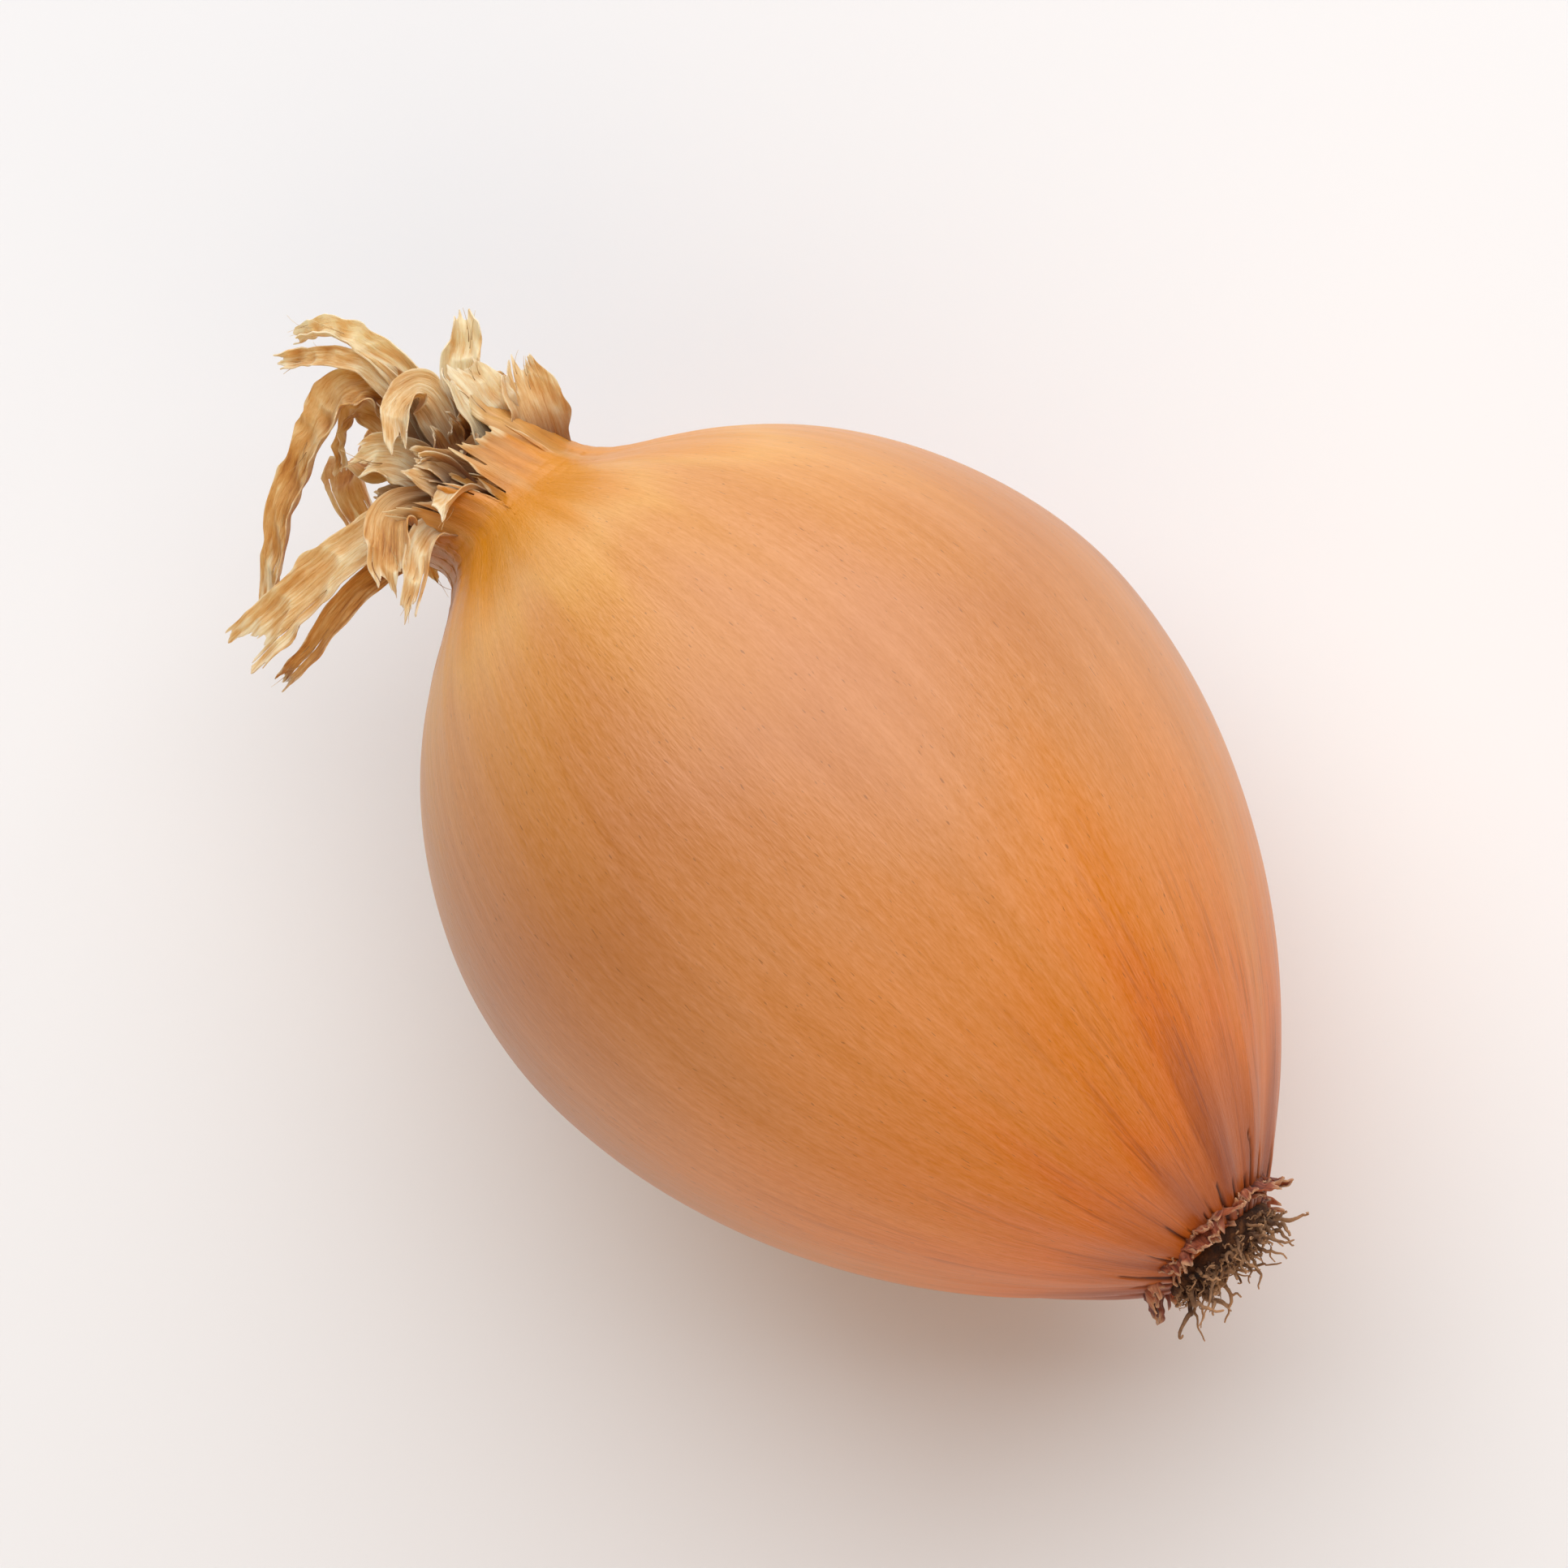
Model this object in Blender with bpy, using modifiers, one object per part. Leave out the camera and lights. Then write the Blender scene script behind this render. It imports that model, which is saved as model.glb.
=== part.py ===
"""A yellow onion lying on its side: the bulb in its dry skin, the torn leaves of its neck and its root tuft.

Each piece is modelled upright in metres: the onion's axis on Z, the root plate at height 0, the neck above.
One empty then lays the onion down: the neck points to -X, the roots to +X, and it rests at the origin.
Angles go round the axis from the side that ends on top, 90 degrees being the side that ends at +Y.
"""

import math
import random
from functools import partial

import bmesh
import bpy
import numpy as np
from mathutils import Matrix, Vector

MM = 0.001
WELD = 0.01 * MM

# Bulb: two superellipse halves, root side and neck side, that run into a narrow neck
EQUATOR_RADIUS = 28.0 * MM
WIDEST_HEIGHT = 40.5 * MM
ROOT_REACH = 42.7 * MM
ROOT_POWERS = (1.9, 0.77)
SHOULDER_REACH = 32.0 * MM
SHOULDER_POWERS = (1.9, 0.55)
NECK_RADIUS = 6.6 * MM
NECK_BLEND = 4.0
BULB_TOP = 72.0 * MM
BULB_RINGS = 34
BULB_SIDES = 64
OUTLINE_SAMPLES = 2000

# Low relief of the skin: lobes all over, pleats where it gathers at the root and at the neck
LOBES = ((2, 0.35 * MM, 0.6), (3, 0.22 * MM, 2.4), (5, 0.12 * MM, 4.1))
ROOT_PLEATS = 13
ROOT_PLEAT_DEPTH = 0.55 * MM
ROOT_PLEAT_FADE = 9.0 * MM
NECK_PLEATS = 9
NECK_PLEAT_DEPTH = 0.7 * MM
NECK_PLEAT_FADE = 6.0 * MM

# How it lies: the root end hangs a little, and the belly is flat where it rests
AXIS_TILT = math.radians(2.0)
REST_SINK = 0.8 * MM
FIT_GAP = 0.3 * MM

# Torn curls of skin round the root plate
CURLS = 11
CURL_RADIUS = 5.7 * MM
CURL_FOOT = 1.6 * MM
CURL_LENGTH = (2.0 * MM, 3.6 * MM)
CURL_WIDTH = (1.2 * MM, 2.2 * MM)
CURL_TAPER = 0.45
CURL_ROLL = (0.8, 1.8)
CURL_TEETH = 0.22
CURL_THICKNESS = 0.6 * MM

# Neck: a short core that leans towards -Y, and the torn leaves that grow out of it
CORE_TOP = 80.0 * MM
CORE_TOP_RADIUS = 4.2 * MM
CORE_SIDES = 18
NECK_LEAN = 3.2 * MM
LEAN_POWER = 1.5
LEAF_THICKNESS = 0.65 * MM
LEAF_ROWS = 9
LEAF_COLUMNS = 3
LEAF_TEETH = 0.16

# Torn collar: angle, half width in degrees, height of the top edge and flare, in millimetres
COLLAR = (
    (22, 26, 79.4, 1.4),
    (74, 38, 83.4, 2.8),
    (128, 30, 81.0, 2.6),
    (176, 34, 83.0, 3.2),
    (228, 30, 80.4, 2.8),
    (280, 34, 80.8, 2.6),
    (330, 28, 79.0, 1.6),
)
COLLAR_FOOT = 72.9 * MM
COLLAR_SUNK = 0.9 * MM
COLLAR_SPREAD = 0.8 * MM
COLLAR_TAPER = 0.25
COLLAR_TEETH = 1.6 * MM
COLLAR_CROWN = 2.2 * MM

# Long leaves: points (towards the top, towards +Y, height), the widths at foot, middle and tip,
# how far it is cupped, all in millimetres, and the direction that its face turns to
LEAVES = {
    "rolled_long": (((0, -1.5, 77), (1.5, 0.6, 85.5), (3, 0, 89.7), (3.4, -1.4, 92.2), (2.5, -3.4, 93.6)),
                    (3.0, 2.0, 1.5), 0.6, (1, 0, 0.5)),
    "rolled_thin": (((0.5, -2, 77), (2, -0.6, 86), (3.2, -1.8, 89.6), (2.6, -3.5, 91.4), (2, -5.6, 93)),
                    (2.4, 1.5, 1.3), 0.4, (1, 0, 0.5)),
    "broad_drop": (((-1, -2.5, 77), (1, -0.8, 85.2), (2, -3.0, 87.8), (1.5, -6.2, 87.2), (0, -10.6, 85.9),
                    (-1.5, -14.8, 83.4), (-3, -19.6, 79.4)),
                   (3.6, 3.4, 1.8), 0.7, (1, -0.2, 0.6)),
    "thin_drop": (((0, -3, 77), (0.5, -2.9, 86), (-0.6, -5.4, 86.4), (-1.6, -8, 84.2)),
                  (2.4, 2.0, 1.4), 0.4, (0.5, -0.5, 1)),
    "slash": (((2, -4, 76.5), (3.6, -8.6, 78), (3.2, -14.8, 78.7), (1.5, -22.4, 79)),
              (3.0, 4.0, 4.2), 0.25, (1, 0, 0.5)),
    "slash_under": (((1, -5, 75.5), (2.2, -12, 76.4), (1, -18.3, 75.9), (0, -21.6, 76)),
                    (2.4, 1.8, 1.2), 0.3, (1, 0, 0.3)),
    "stub_broad": (((3, -3, 75.5), (5.5, -6.3, 77.8), (6.8, -8.6, 76), (6.8, -10.8, 72.9)),
                   (3.5, 3.4, 2.2), 0.4, (1, -0.3, 0.4)),
    "stub_tail": (((3.5, -3.2, 74.6), (6.2, -6, 75), (7.4, -8.8, 72.9), (7.4, -11.8, 70.8)),
                  (3.0, 1.9, 1.0), 0.4, (1, -0.3, 0.2)),
    "stub_saw": (((4, -1.5, 75), (5.8, -2.6, 78), (6.6, -3.8, 80.2)), (3.6, 3.6, 3.0), 0.4, (1, 0, 0.1)),
    "flap": (((4, -0.6, 74.4), (6.8, -2.4, 75.6), (8.4, -4.6, 74)), (2.6, 2.4, 1.5), 0.4, (0.7, 0, 0.7)),
    "cone": (((1.5, 1.5, 77), (2.5, 3.6, 82.4), (2.5, 5.6, 84.4), (3, 7.2, 86.2)),
             (3.0, 2.8, 1.6), 0.9, (1, 0, 0)),
    "pale_sheet": (((3.2, 2.4, 75), (5, 3, 79.8), (5.8, 3.6, 83.6)), (4.5, 5.0, 4.2), 0.5, (1, 0.5, 0)),
    "side_sheet": (((2, 4.4, 74), (3.2, 6.2, 77.6), (3.4, 7.6, 81.4)), (3.6, 4.4, 1.6), 0.4, (1, 0.5, 0)),
    "lobe": (((1.5, -2.5, 77), (3.4, -4.2, 81.6), (4.2, -6.8, 83)), (3.6, 3.6, 2.6), 0.5, (1, 0, 0.4)),
    "folded_strip": (((2, -0.5, 77), (3, 0.8, 83.2), (4.6, -1.2, 83.6), (6, -3.7, 80.4)),
                     (3.0, 3.0, 2.0), 0.4, (1, 0, 0.7)),
    "back_fold": (((-1, 1, 77), (-4, 2.5, 82.5), (-7.5, 4, 83.5), (-11, 5, 81)),
                  (4.0, 3.8, 2.2), 0.7, (-0.6, 0.6, 1)),
    "back_drop": (((-2, -3, 77), (-5.5, -5, 85), (-10, -7.5, 86), (-15, -9.5, 82)),
                  (4.2, 4.0, 2.4), 0.7, (-0.6, -0.5, 1)),
    "back_strip": (((-3, 0, 76), (-7.5, 1, 81), (-12.5, 0, 82.5)), (3.4, 3.0, 2.2), 0.4, (-0.5, 0, 1)),
    "back_stub": (((-3, -4, 75), (-7.5, -6.5, 77.5), (-10, -7.8, 75)),
                  (3.4, 3.0, 1.8), 0.4, (-0.7, -0.3, 0.6)),
}

# Roots: a low dome, the plate, and the dried rootlets that grow out of it
PLATE_RADIUS = 4.5 * MM
PLATE_DOME = 1.5 * MM
PLATE_RINGS = 5
PLATE_SIDES = 20
ROOTLETS = 34
ROOTLET_RADIUS = 0.32 * MM
ROOTLET_POINTS = 7
ROOTLET_LENGTH = (2.4 * MM, 5.2 * MM)
ROOTLET_SPREAD = 0.85
ROOTLET_WANDER = 0.34
ROOTLET_TAPER = 0.3
PLATE_RIM = 0.9 * MM
ROOM_RIM = 0.6 * MM
GOLDEN_ANGLE = math.radians(137.508)


def clear_scene():
    for item in list(bpy.data.objects):
        bpy.data.objects.remove(item)


def principled(name, color, roughness):
    """A plain material of one colour, given as red, green and blue in linear light."""
    material = bpy.data.materials.new(name)
    material.use_nodes = True
    shader = material.node_tree.nodes["Principled BSDF"]
    shader.inputs["Base Color"].default_value = (*color, 1.0)
    shader.inputs["Roughness"].default_value = roughness
    shader.inputs["Metallic"].default_value = 0.0
    return material


def evaluated_copy(item):
    """A mesh of the object with its modifiers applied."""
    bpy.context.view_layer.update()
    graph = bpy.context.evaluated_depsgraph_get()
    return bpy.data.meshes.new_from_object(item.evaluated_get(graph))


def apply_modifiers(item):
    mesh = evaluated_copy(item)
    item.modifiers.clear()
    item.data = mesh


def mesh_object(name, mesh, collection):
    item = bpy.data.objects.new(name, mesh)
    collection.objects.link(item)
    return item


def keep_outer_shell(mesh):
    """Keeps the largest connected shell, which drops loose scraps and fills sealed hollows."""
    shells = bmesh.new()
    shells.from_mesh(mesh)
    unseen = set(shells.verts)
    largest = set()
    while unseen:
        shell = {unseen.pop()}
        edge_of_shell = list(shell)
        while edge_of_shell:
            vertex = edge_of_shell.pop()
            near = {edge.other_vert(vertex) for edge in vertex.link_edges} & unseen
            unseen -= near
            shell |= near
            edge_of_shell.extend(near)
        if len(shell) > len(largest):
            largest = shell
    loose = [vertex for vertex in shells.verts if vertex not in largest]
    bmesh.ops.delete(shells, geom=loose, context="VERTS")
    shells.to_mesh(mesh)
    shells.free()


def fuse(body, pieces):
    """Joins the pieces to the body in one union and removes them."""
    group = bpy.data.collections.new("to_fuse")
    for piece in pieces:
        group.objects.link(piece)
    union = body.modifiers.new("fuse", "BOOLEAN")
    union.operation = "UNION"
    union.operand_type = "COLLECTION"
    union.collection = group
    union.solver = "MANIFOLD"
    apply_modifiers(body)
    keep_outer_shell(body.data)
    for piece in pieces:
        bpy.data.objects.remove(piece)
    bpy.data.collections.remove(group)


def bulb_radius(height):
    """Radius of the skin at a height over the root plate."""
    below = np.clip((WIDEST_HEIGHT - height) / ROOT_REACH, 0.0, 1.0)
    above = np.clip((height - WIDEST_HEIGHT) / SHOULDER_REACH, 0.0, 1.0)
    root_half = (1.0 - below ** ROOT_POWERS[0]) ** ROOT_POWERS[1]
    neck_half = (1.0 - above ** SHOULDER_POWERS[0]) ** SHOULDER_POWERS[1]
    body = EQUATOR_RADIUS * np.where(height < WIDEST_HEIGHT, root_half, neck_half)
    neck = NECK_RADIUS * above
    return (body**NECK_BLEND + neck**NECK_BLEND) ** (1.0 / NECK_BLEND)


def skin_relief(angle, height):
    """How far the skin stands out of the round shape: lobes fade at both ends, pleats deepen there."""
    belly = np.sin(math.pi * np.clip(height / BULB_TOP, 0.0, 1.0))
    lobes = sum(depth * np.cos(count * angle + phase) for count, depth, phase in LOBES)
    root_fade = np.exp(-((height / ROOT_PLEAT_FADE) ** 2))
    neck_fade = np.exp(-(((BULB_TOP - height) / NECK_PLEAT_FADE) ** 2))
    root_pleats = ROOT_PLEAT_DEPTH * (np.cos(ROOT_PLEATS * angle) - 1.0) / 2.0
    neck_pleats = NECK_PLEAT_DEPTH * (np.cos(NECK_PLEATS * angle + 1.0) - 1.0) / 2.0
    return belly * lobes + root_fade * root_pleats + neck_fade * neck_pleats


def profile_heights():
    """Heights of the bulb's rings, spaced evenly along the outline, top first."""
    heights = np.linspace(BULB_TOP, 0.0, OUTLINE_SAMPLES)
    steps = np.hypot(np.diff(heights), np.diff(bulb_radius(heights)))
    travelled = np.concatenate([[0.0], np.cumsum(steps)])
    return np.interp(np.linspace(0.0, travelled[-1], BULB_RINGS), travelled, heights)


def turned(name, outline, sides, collection):
    """A solid of revolution about Z from an outline of (radius, height) points, top to bottom."""
    mesh = bpy.data.meshes.new(name)
    points = [(radius, 0.0, height) for radius, height in outline]
    mesh.from_pydata(points, [(i, i + 1) for i in range(len(points) - 1)], [])
    item = mesh_object(name, mesh, collection)
    screw = item.modifiers.new("turn", "SCREW")
    screw.steps = sides
    screw.render_steps = sides
    screw.use_merge_vertices = True
    screw.merge_threshold = WELD
    apply_modifiers(item)
    return item


def shape_skin(mesh):
    """Moves the turned bulb's points in and out by the skin's relief, but for its two flat ends."""
    for vertex in mesh.vertices:
        radius = math.hypot(vertex.co.x, vertex.co.y)
        if radius < MM:
            continue
        angle = math.atan2(vertex.co.y, vertex.co.x)
        scale = 1.0 + skin_relief(angle, vertex.co.z) / radius
        vertex.co.x *= scale
        vertex.co.y *= scale


def sheet_mesh(name, rows, columns, place):
    """A grid bent to shape: place(across, along) gives a point, across from -1 to 1, along from 0 to 1."""
    grid = bmesh.new()
    bmesh.ops.create_grid(grid, x_segments=columns, y_segments=rows, size=1.0)
    bmesh.ops.triangulate(grid, faces=grid.faces)
    for vertex in grid.verts:
        vertex.co = place(vertex.co.x, (vertex.co.y + 1.0) / 2.0)
    mesh = bpy.data.meshes.new(name)
    grid.to_mesh(mesh)
    grid.free()
    return mesh


def thick_sheet(name, mesh, thickness, collection):
    """Gives a bent grid its thickness, half on each side."""
    item = mesh_object(name, mesh, collection)
    solidify = item.modifiers.new("thickness", "SOLIDIFY")
    solidify.thickness = thickness
    solidify.offset = 0.0
    apply_modifiers(item)
    return item


def curl_point(index, across, along):
    """A torn curl of skin: it leaves the pleated root end near the plate, stands up and rolls outward."""
    draw = random.Random(100 + index)
    angle = index * math.tau / CURLS + draw.uniform(-0.12, 0.12)
    length = draw.uniform(*CURL_LENGTH)
    width = draw.uniform(*CURL_WIDTH) * (1.0 - CURL_TAPER * along)
    roll = draw.uniform(*CURL_ROLL)
    torn = 1.0 - CURL_TEETH * abs(math.sin(2.3 * across + index))
    bend = roll * along * torn
    outward = CURL_RADIUS + length * (1.0 - math.cos(bend)) / roll
    height = CURL_FOOT - length * math.sin(bend) / roll
    turn = angle + across * width / outward
    return Vector((outward * math.cos(turn), outward * math.sin(turn), height))


def make_bulb(collection):
    heights = profile_heights()
    outline = [(0.0, BULB_TOP)]
    outline += [(float(bulb_radius(height)), float(height)) for height in heights]
    outline += [(0.0, 0.0)]
    bulb = turned("bulb", outline, BULB_SIDES, collection)
    shape_skin(bulb.data)
    curls = []
    for index in range(CURLS):
        mesh = sheet_mesh("curl", 4, 2, partial(curl_point, index))
        curls.append(thick_sheet("curl", mesh, CURL_THICKNESS, collection))
    fuse(bulb, curls)
    bulb.data.materials.clear()
    bulb.data.materials.append(principled("dry_onion_skin", (0.60, 0.24, 0.07), 0.45))
    return bulb


def path_point(points, along):
    """The point and direction at a share of the way along a smooth curve through the points (Catmull-Rom)."""
    ends = [2 * points[0] - points[1], *points, 2 * points[-1] - points[-2]]
    position = along * (len(points) - 1)
    span = min(int(position), len(points) - 2)
    t = position - span
    a, b, c, d = ends[span : span + 4]
    point = 0.5 * (2 * b + (c - a) * t + (2 * a - 5 * b + 4 * c - d) * t**2 + (3 * b - a - 3 * c + d) * t**3)
    slope = 0.5 * ((c - a) + 2 * (2 * a - 5 * b + 4 * c - d) * t + 3 * (3 * b - a - 3 * c + d) * t**2)
    return point, slope.normalized()


def leaf_point(name, across, along):
    """A long torn leaf: a band along its path, cupped across, its free end torn in teeth."""
    path, (foot, middle, tip), cup, facing = LEAVES[name]
    draw = random.Random(name)
    teeth = LEAF_TEETH * abs(math.sin(draw.uniform(2.2, 3.4) * across + draw.uniform(0.0, 3.0)))
    point, forward = path_point([Vector(p) * MM for p in path], along * (1.0 - teeth * along))
    side = forward.cross(Vector(facing)).normalized()
    up = side.cross(forward)
    width = MM * float(np.interp(along, (0.0, 0.5, 1.0), (foot, middle, tip)))
    return point + side * (across * width / 2.0) + up * (cup * MM * (across**2 - 0.5))


def collar_point(sheet, across, along):
    """A wide torn sheet of the collar: it wraps the core, flares as it rises and has a ragged top edge."""
    middle, half_width, top, flare = sheet
    angle = math.radians(middle + across * half_width * (1.0 - COLLAR_TAPER * along))
    ragged = COLLAR_TEETH * abs(math.sin(2.6 * across + 0.05 * middle)) + COLLAR_CROWN * across**2
    height = COLLAR_FOOT + (top * MM - ragged - COLLAR_FOOT) * along
    radius = core_radius(COLLAR_FOOT) - COLLAR_SUNK + COLLAR_SPREAD * along + flare * MM * along**2
    return Vector((radius * math.cos(angle), radius * math.sin(angle) - neck_lean(height), height))


def neck_lean(height):
    """How far the neck has bent towards -Y at a height: nothing at its foot, all of it at the core's top."""
    rise = (height - BULB_TOP) / (CORE_TOP - BULB_TOP)
    return NECK_LEAN * max(rise, 0.0) ** LEAN_POWER


def core_radius(height):
    """The neck's core narrows evenly from the bulb's neck to its torn top."""
    foot = BULB_TOP + FIT_GAP
    return float(np.interp(height, (foot, CORE_TOP), (bulb_radius(foot), CORE_TOP_RADIUS)))


def make_neck_leaves(collection):
    foot = BULB_TOP + FIT_GAP
    outline = [(0.0, CORE_TOP), (CORE_TOP_RADIUS, CORE_TOP), (core_radius(foot), foot), (0.0, foot)]
    core = turned("neck_leaves", outline, CORE_SIDES, collection)
    for vertex in core.data.vertices:
        vertex.co.y -= neck_lean(vertex.co.z - FIT_GAP)
    leaves = []
    for sheet in COLLAR:
        mesh = sheet_mesh("collar", 5, 6, partial(collar_point, sheet))
        leaves.append(thick_sheet("collar", mesh, LEAF_THICKNESS, collection))
    for name in LEAVES:
        mesh = sheet_mesh(name, LEAF_ROWS, LEAF_COLUMNS, partial(leaf_point, name))
        leaves.append(thick_sheet(name, mesh, LEAF_THICKNESS, collection))
    fuse(core, leaves)
    core.data.materials.clear()
    core.data.materials.append(principled("dry_onion_leaf", (0.55, 0.36, 0.15), 0.6))
    return core


def rootlet_points(index):
    """A rootlet starts at its golden-angle place on the plate and wanders, inside the cone of room there."""
    draw = random.Random(500 + index)
    share = math.sqrt((index + 0.5) / ROOTLETS)
    angle = index * GOLDEN_ANGLE
    radial = Vector((math.cos(angle), math.sin(angle), 0.0))
    heading = (radial * (0.2 + 1.3 * share) + Vector((0.0, 0.0, -1.0))).normalized()
    length = draw.uniform(*ROOTLET_LENGTH) * (0.6 + 0.4 * share)
    wander = Vector((draw.uniform(-1, 1), draw.uniform(-1, 1), draw.uniform(-0.7, 0.5)))
    point = radial * (share * (PLATE_RADIUS - PLATE_RIM))
    point.z = -FIT_GAP - 2.0 * ROOTLET_RADIUS
    points = [point]
    for _ in range(ROOTLET_POINTS - 1):
        point = point + heading * (length / (ROOTLET_POINTS - 1))
        heading = (heading + ROOTLET_WANDER * wander).normalized()
        reach = math.hypot(point.x, point.y)
        room = PLATE_RADIUS - ROOM_RIM - ROOTLET_SPREAD * point.z
        squeeze = min(1.0, room / reach)
        point = Vector((point.x * squeeze, point.y * squeeze, point.z))
        points.append(point)
    return points


def make_rootlet(index, collection):
    curve = bpy.data.curves.new("rootlet", "CURVE")
    curve.dimensions = "3D"
    curve.bevel_depth = ROOTLET_RADIUS
    curve.bevel_resolution = 0
    curve.use_fill_caps = True
    spline = curve.splines.new("POLY")
    points = rootlet_points(index)
    spline.points.add(len(points) - 1)
    for place, point in enumerate(points):
        spline.points[place].co = (*point, 1.0)
        spline.points[place].radius = 1.0 - ROOTLET_TAPER * place / len(points)
    item = bpy.data.objects.new("rootlet", curve)
    collection.objects.link(item)
    mesh = evaluated_copy(item)
    bpy.data.objects.remove(item)
    welded = bmesh.new()
    welded.from_mesh(mesh)
    bmesh.ops.remove_doubles(welded, verts=welded.verts, dist=WELD)
    welded.to_mesh(mesh)
    welded.free()
    return mesh_object("rootlet", mesh, collection)


def make_root_tuft(collection):
    """The plate is a low dome that bulges out of the root end, and the rootlets grow out of it."""
    outline = [(0.0, -FIT_GAP)]
    for ring in range(PLATE_RINGS):
        turn = math.pi / 2 * ring / PLATE_RINGS
        outline.append((PLATE_RADIUS * math.cos(turn), -FIT_GAP - PLATE_DOME * math.sin(turn)))
    outline.append((0.0, -FIT_GAP - PLATE_DOME))
    plate = turned("root_tuft", outline, PLATE_SIDES, collection)
    fuse(plate, [make_rootlet(index, collection) for index in range(ROOTLETS)])
    plate.data.materials.clear()
    plate.data.materials.append(principled("dried_root", (0.12, 0.07, 0.04), 0.85))
    return plate


def lie_down():
    """Turns the upright onion onto its side, root end down by the tilt, about its widest ring."""
    to_widest_ring = Matrix.Translation((0.0, 0.0, -WIDEST_HEIGHT))
    return Matrix.Rotation(AXIS_TILT - math.pi / 2, 4, "Y") @ to_widest_ring


def rest_matrix(mesh):
    """Lays the bulb so that its belly sinks a little under the floor, with that patch at the origin."""
    laid = lie_down()
    places = np.array([laid @ vertex.co for vertex in mesh.vertices])
    floor = places[:, 2].min() + REST_SINK
    sunk = places[places[:, 2] < floor]
    return Matrix.Translation((-sunk[:, 0].mean(), -sunk[:, 1].mean(), -floor)) @ laid


def floor_cutter(collection):
    """A block under the floor, whose top face makes the flat spot that the bulb rests on."""
    size = 2.0 * EQUATOR_RADIUS
    block = bmesh.new()
    bmesh.ops.create_cube(block, size=size, matrix=Matrix.Translation((0.0, 0.0, -size / 2)))
    mesh = bpy.data.meshes.new("floor_cutter")
    block.to_mesh(mesh)
    block.free()
    cutter = mesh_object("floor_cutter", mesh, collection)
    cutter.hide_render = True
    cutter.display_type = "WIRE"
    return cutter


def main():
    clear_scene()
    parts = bpy.data.collections.new("onion")
    cutters = bpy.data.collections.new("cutters")
    bpy.context.scene.collection.children.link(parts)
    bpy.context.scene.collection.children.link(cutters)
    bulb = make_bulb(parts)
    neck_leaves = make_neck_leaves(parts)
    root_tuft = make_root_tuft(parts)
    axis = bpy.data.objects.new("onion_axis", None)
    parts.objects.link(axis)
    axis.matrix_world = rest_matrix(bulb.data)
    for piece in (bulb, neck_leaves, root_tuft):
        piece.parent = axis
        piece.data.shade_smooth()
        piece.data.set_sharp_from_angle(angle=math.radians(40))
    cut = bulb.modifiers.new("flat_spot", "BOOLEAN")
    cut.operation = "DIFFERENCE"
    cut.solver = "EXACT"
    cut.object = floor_cutter(cutters)


main()
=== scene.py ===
"""The looks of a yellow onion on its side: its papery skin, the torn leaves of its neck, its dried roots.

Shapes are worked out upright and in millimetres: the onion's axis on Z, the root plate at height 0, the
neck above. Angles go round the axis from the side that ends on top, 90 degrees being the side that ends at
+Y. lay_down() turns such points onto the CAD bulb, whose flat neck end gives the place.

Noise and draws have fixed seeds. A whole number added to a place in noise picks another stretch of it.
"""

import math
import random

import bpy
import numpy as np
from mathutils import Matrix, Vector


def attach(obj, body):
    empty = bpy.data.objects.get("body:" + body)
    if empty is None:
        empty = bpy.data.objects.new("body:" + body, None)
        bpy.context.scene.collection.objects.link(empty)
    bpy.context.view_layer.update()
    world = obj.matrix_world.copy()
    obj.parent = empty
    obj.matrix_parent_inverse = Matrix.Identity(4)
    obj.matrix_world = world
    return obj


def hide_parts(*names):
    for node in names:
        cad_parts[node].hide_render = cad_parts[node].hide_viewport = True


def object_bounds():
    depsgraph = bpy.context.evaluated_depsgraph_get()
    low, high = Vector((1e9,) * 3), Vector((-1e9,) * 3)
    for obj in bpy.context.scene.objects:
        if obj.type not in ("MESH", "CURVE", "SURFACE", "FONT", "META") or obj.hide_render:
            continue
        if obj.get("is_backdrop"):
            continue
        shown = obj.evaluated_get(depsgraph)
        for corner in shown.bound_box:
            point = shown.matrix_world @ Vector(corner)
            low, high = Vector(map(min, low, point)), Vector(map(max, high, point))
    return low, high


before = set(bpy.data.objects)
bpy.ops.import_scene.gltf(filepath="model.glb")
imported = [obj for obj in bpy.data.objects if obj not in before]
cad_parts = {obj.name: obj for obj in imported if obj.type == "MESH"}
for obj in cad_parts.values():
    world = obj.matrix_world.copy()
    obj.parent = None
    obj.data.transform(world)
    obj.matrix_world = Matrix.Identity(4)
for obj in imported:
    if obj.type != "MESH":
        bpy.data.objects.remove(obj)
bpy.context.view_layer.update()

MM = 0.001
NOISE_PERIOD = 64

# Bulb: two superellipse halves, root side and neck side, that run into a narrow neck
EQUATOR_RADIUS = 28.0
WIDEST_HEIGHT = 40.5
ROOT_REACH = 42.7
ROOT_POWERS = (1.9, 0.77)
SHOULDER_REACH = 32.0
SHOULDER_POWERS = (1.9, 0.55)
NECK_RADIUS = 6.6
NECK_BLEND = 4.0
BULB_TOP = 72.0
OUTLINE_SAMPLES = 4000
SKIN_RINGS = 262
SKIN_SIDES = 376

# Low relief of the skin, as on the CAD bulb: lobes all over, and the pleats of the root and the neck. Each
# has its number round the bulb, depth and phase, and the pleats their end's height and how far they reach
LOBES = ((2, 0.35, 0.6), (3, 0.22, 2.4), (5, 0.12, 4.1))
PLEATS = ((13, 0.55, 0.0, 0.0, 9.0), (9, 0.7, 1.0, BULB_TOP, 6.0))

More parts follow.
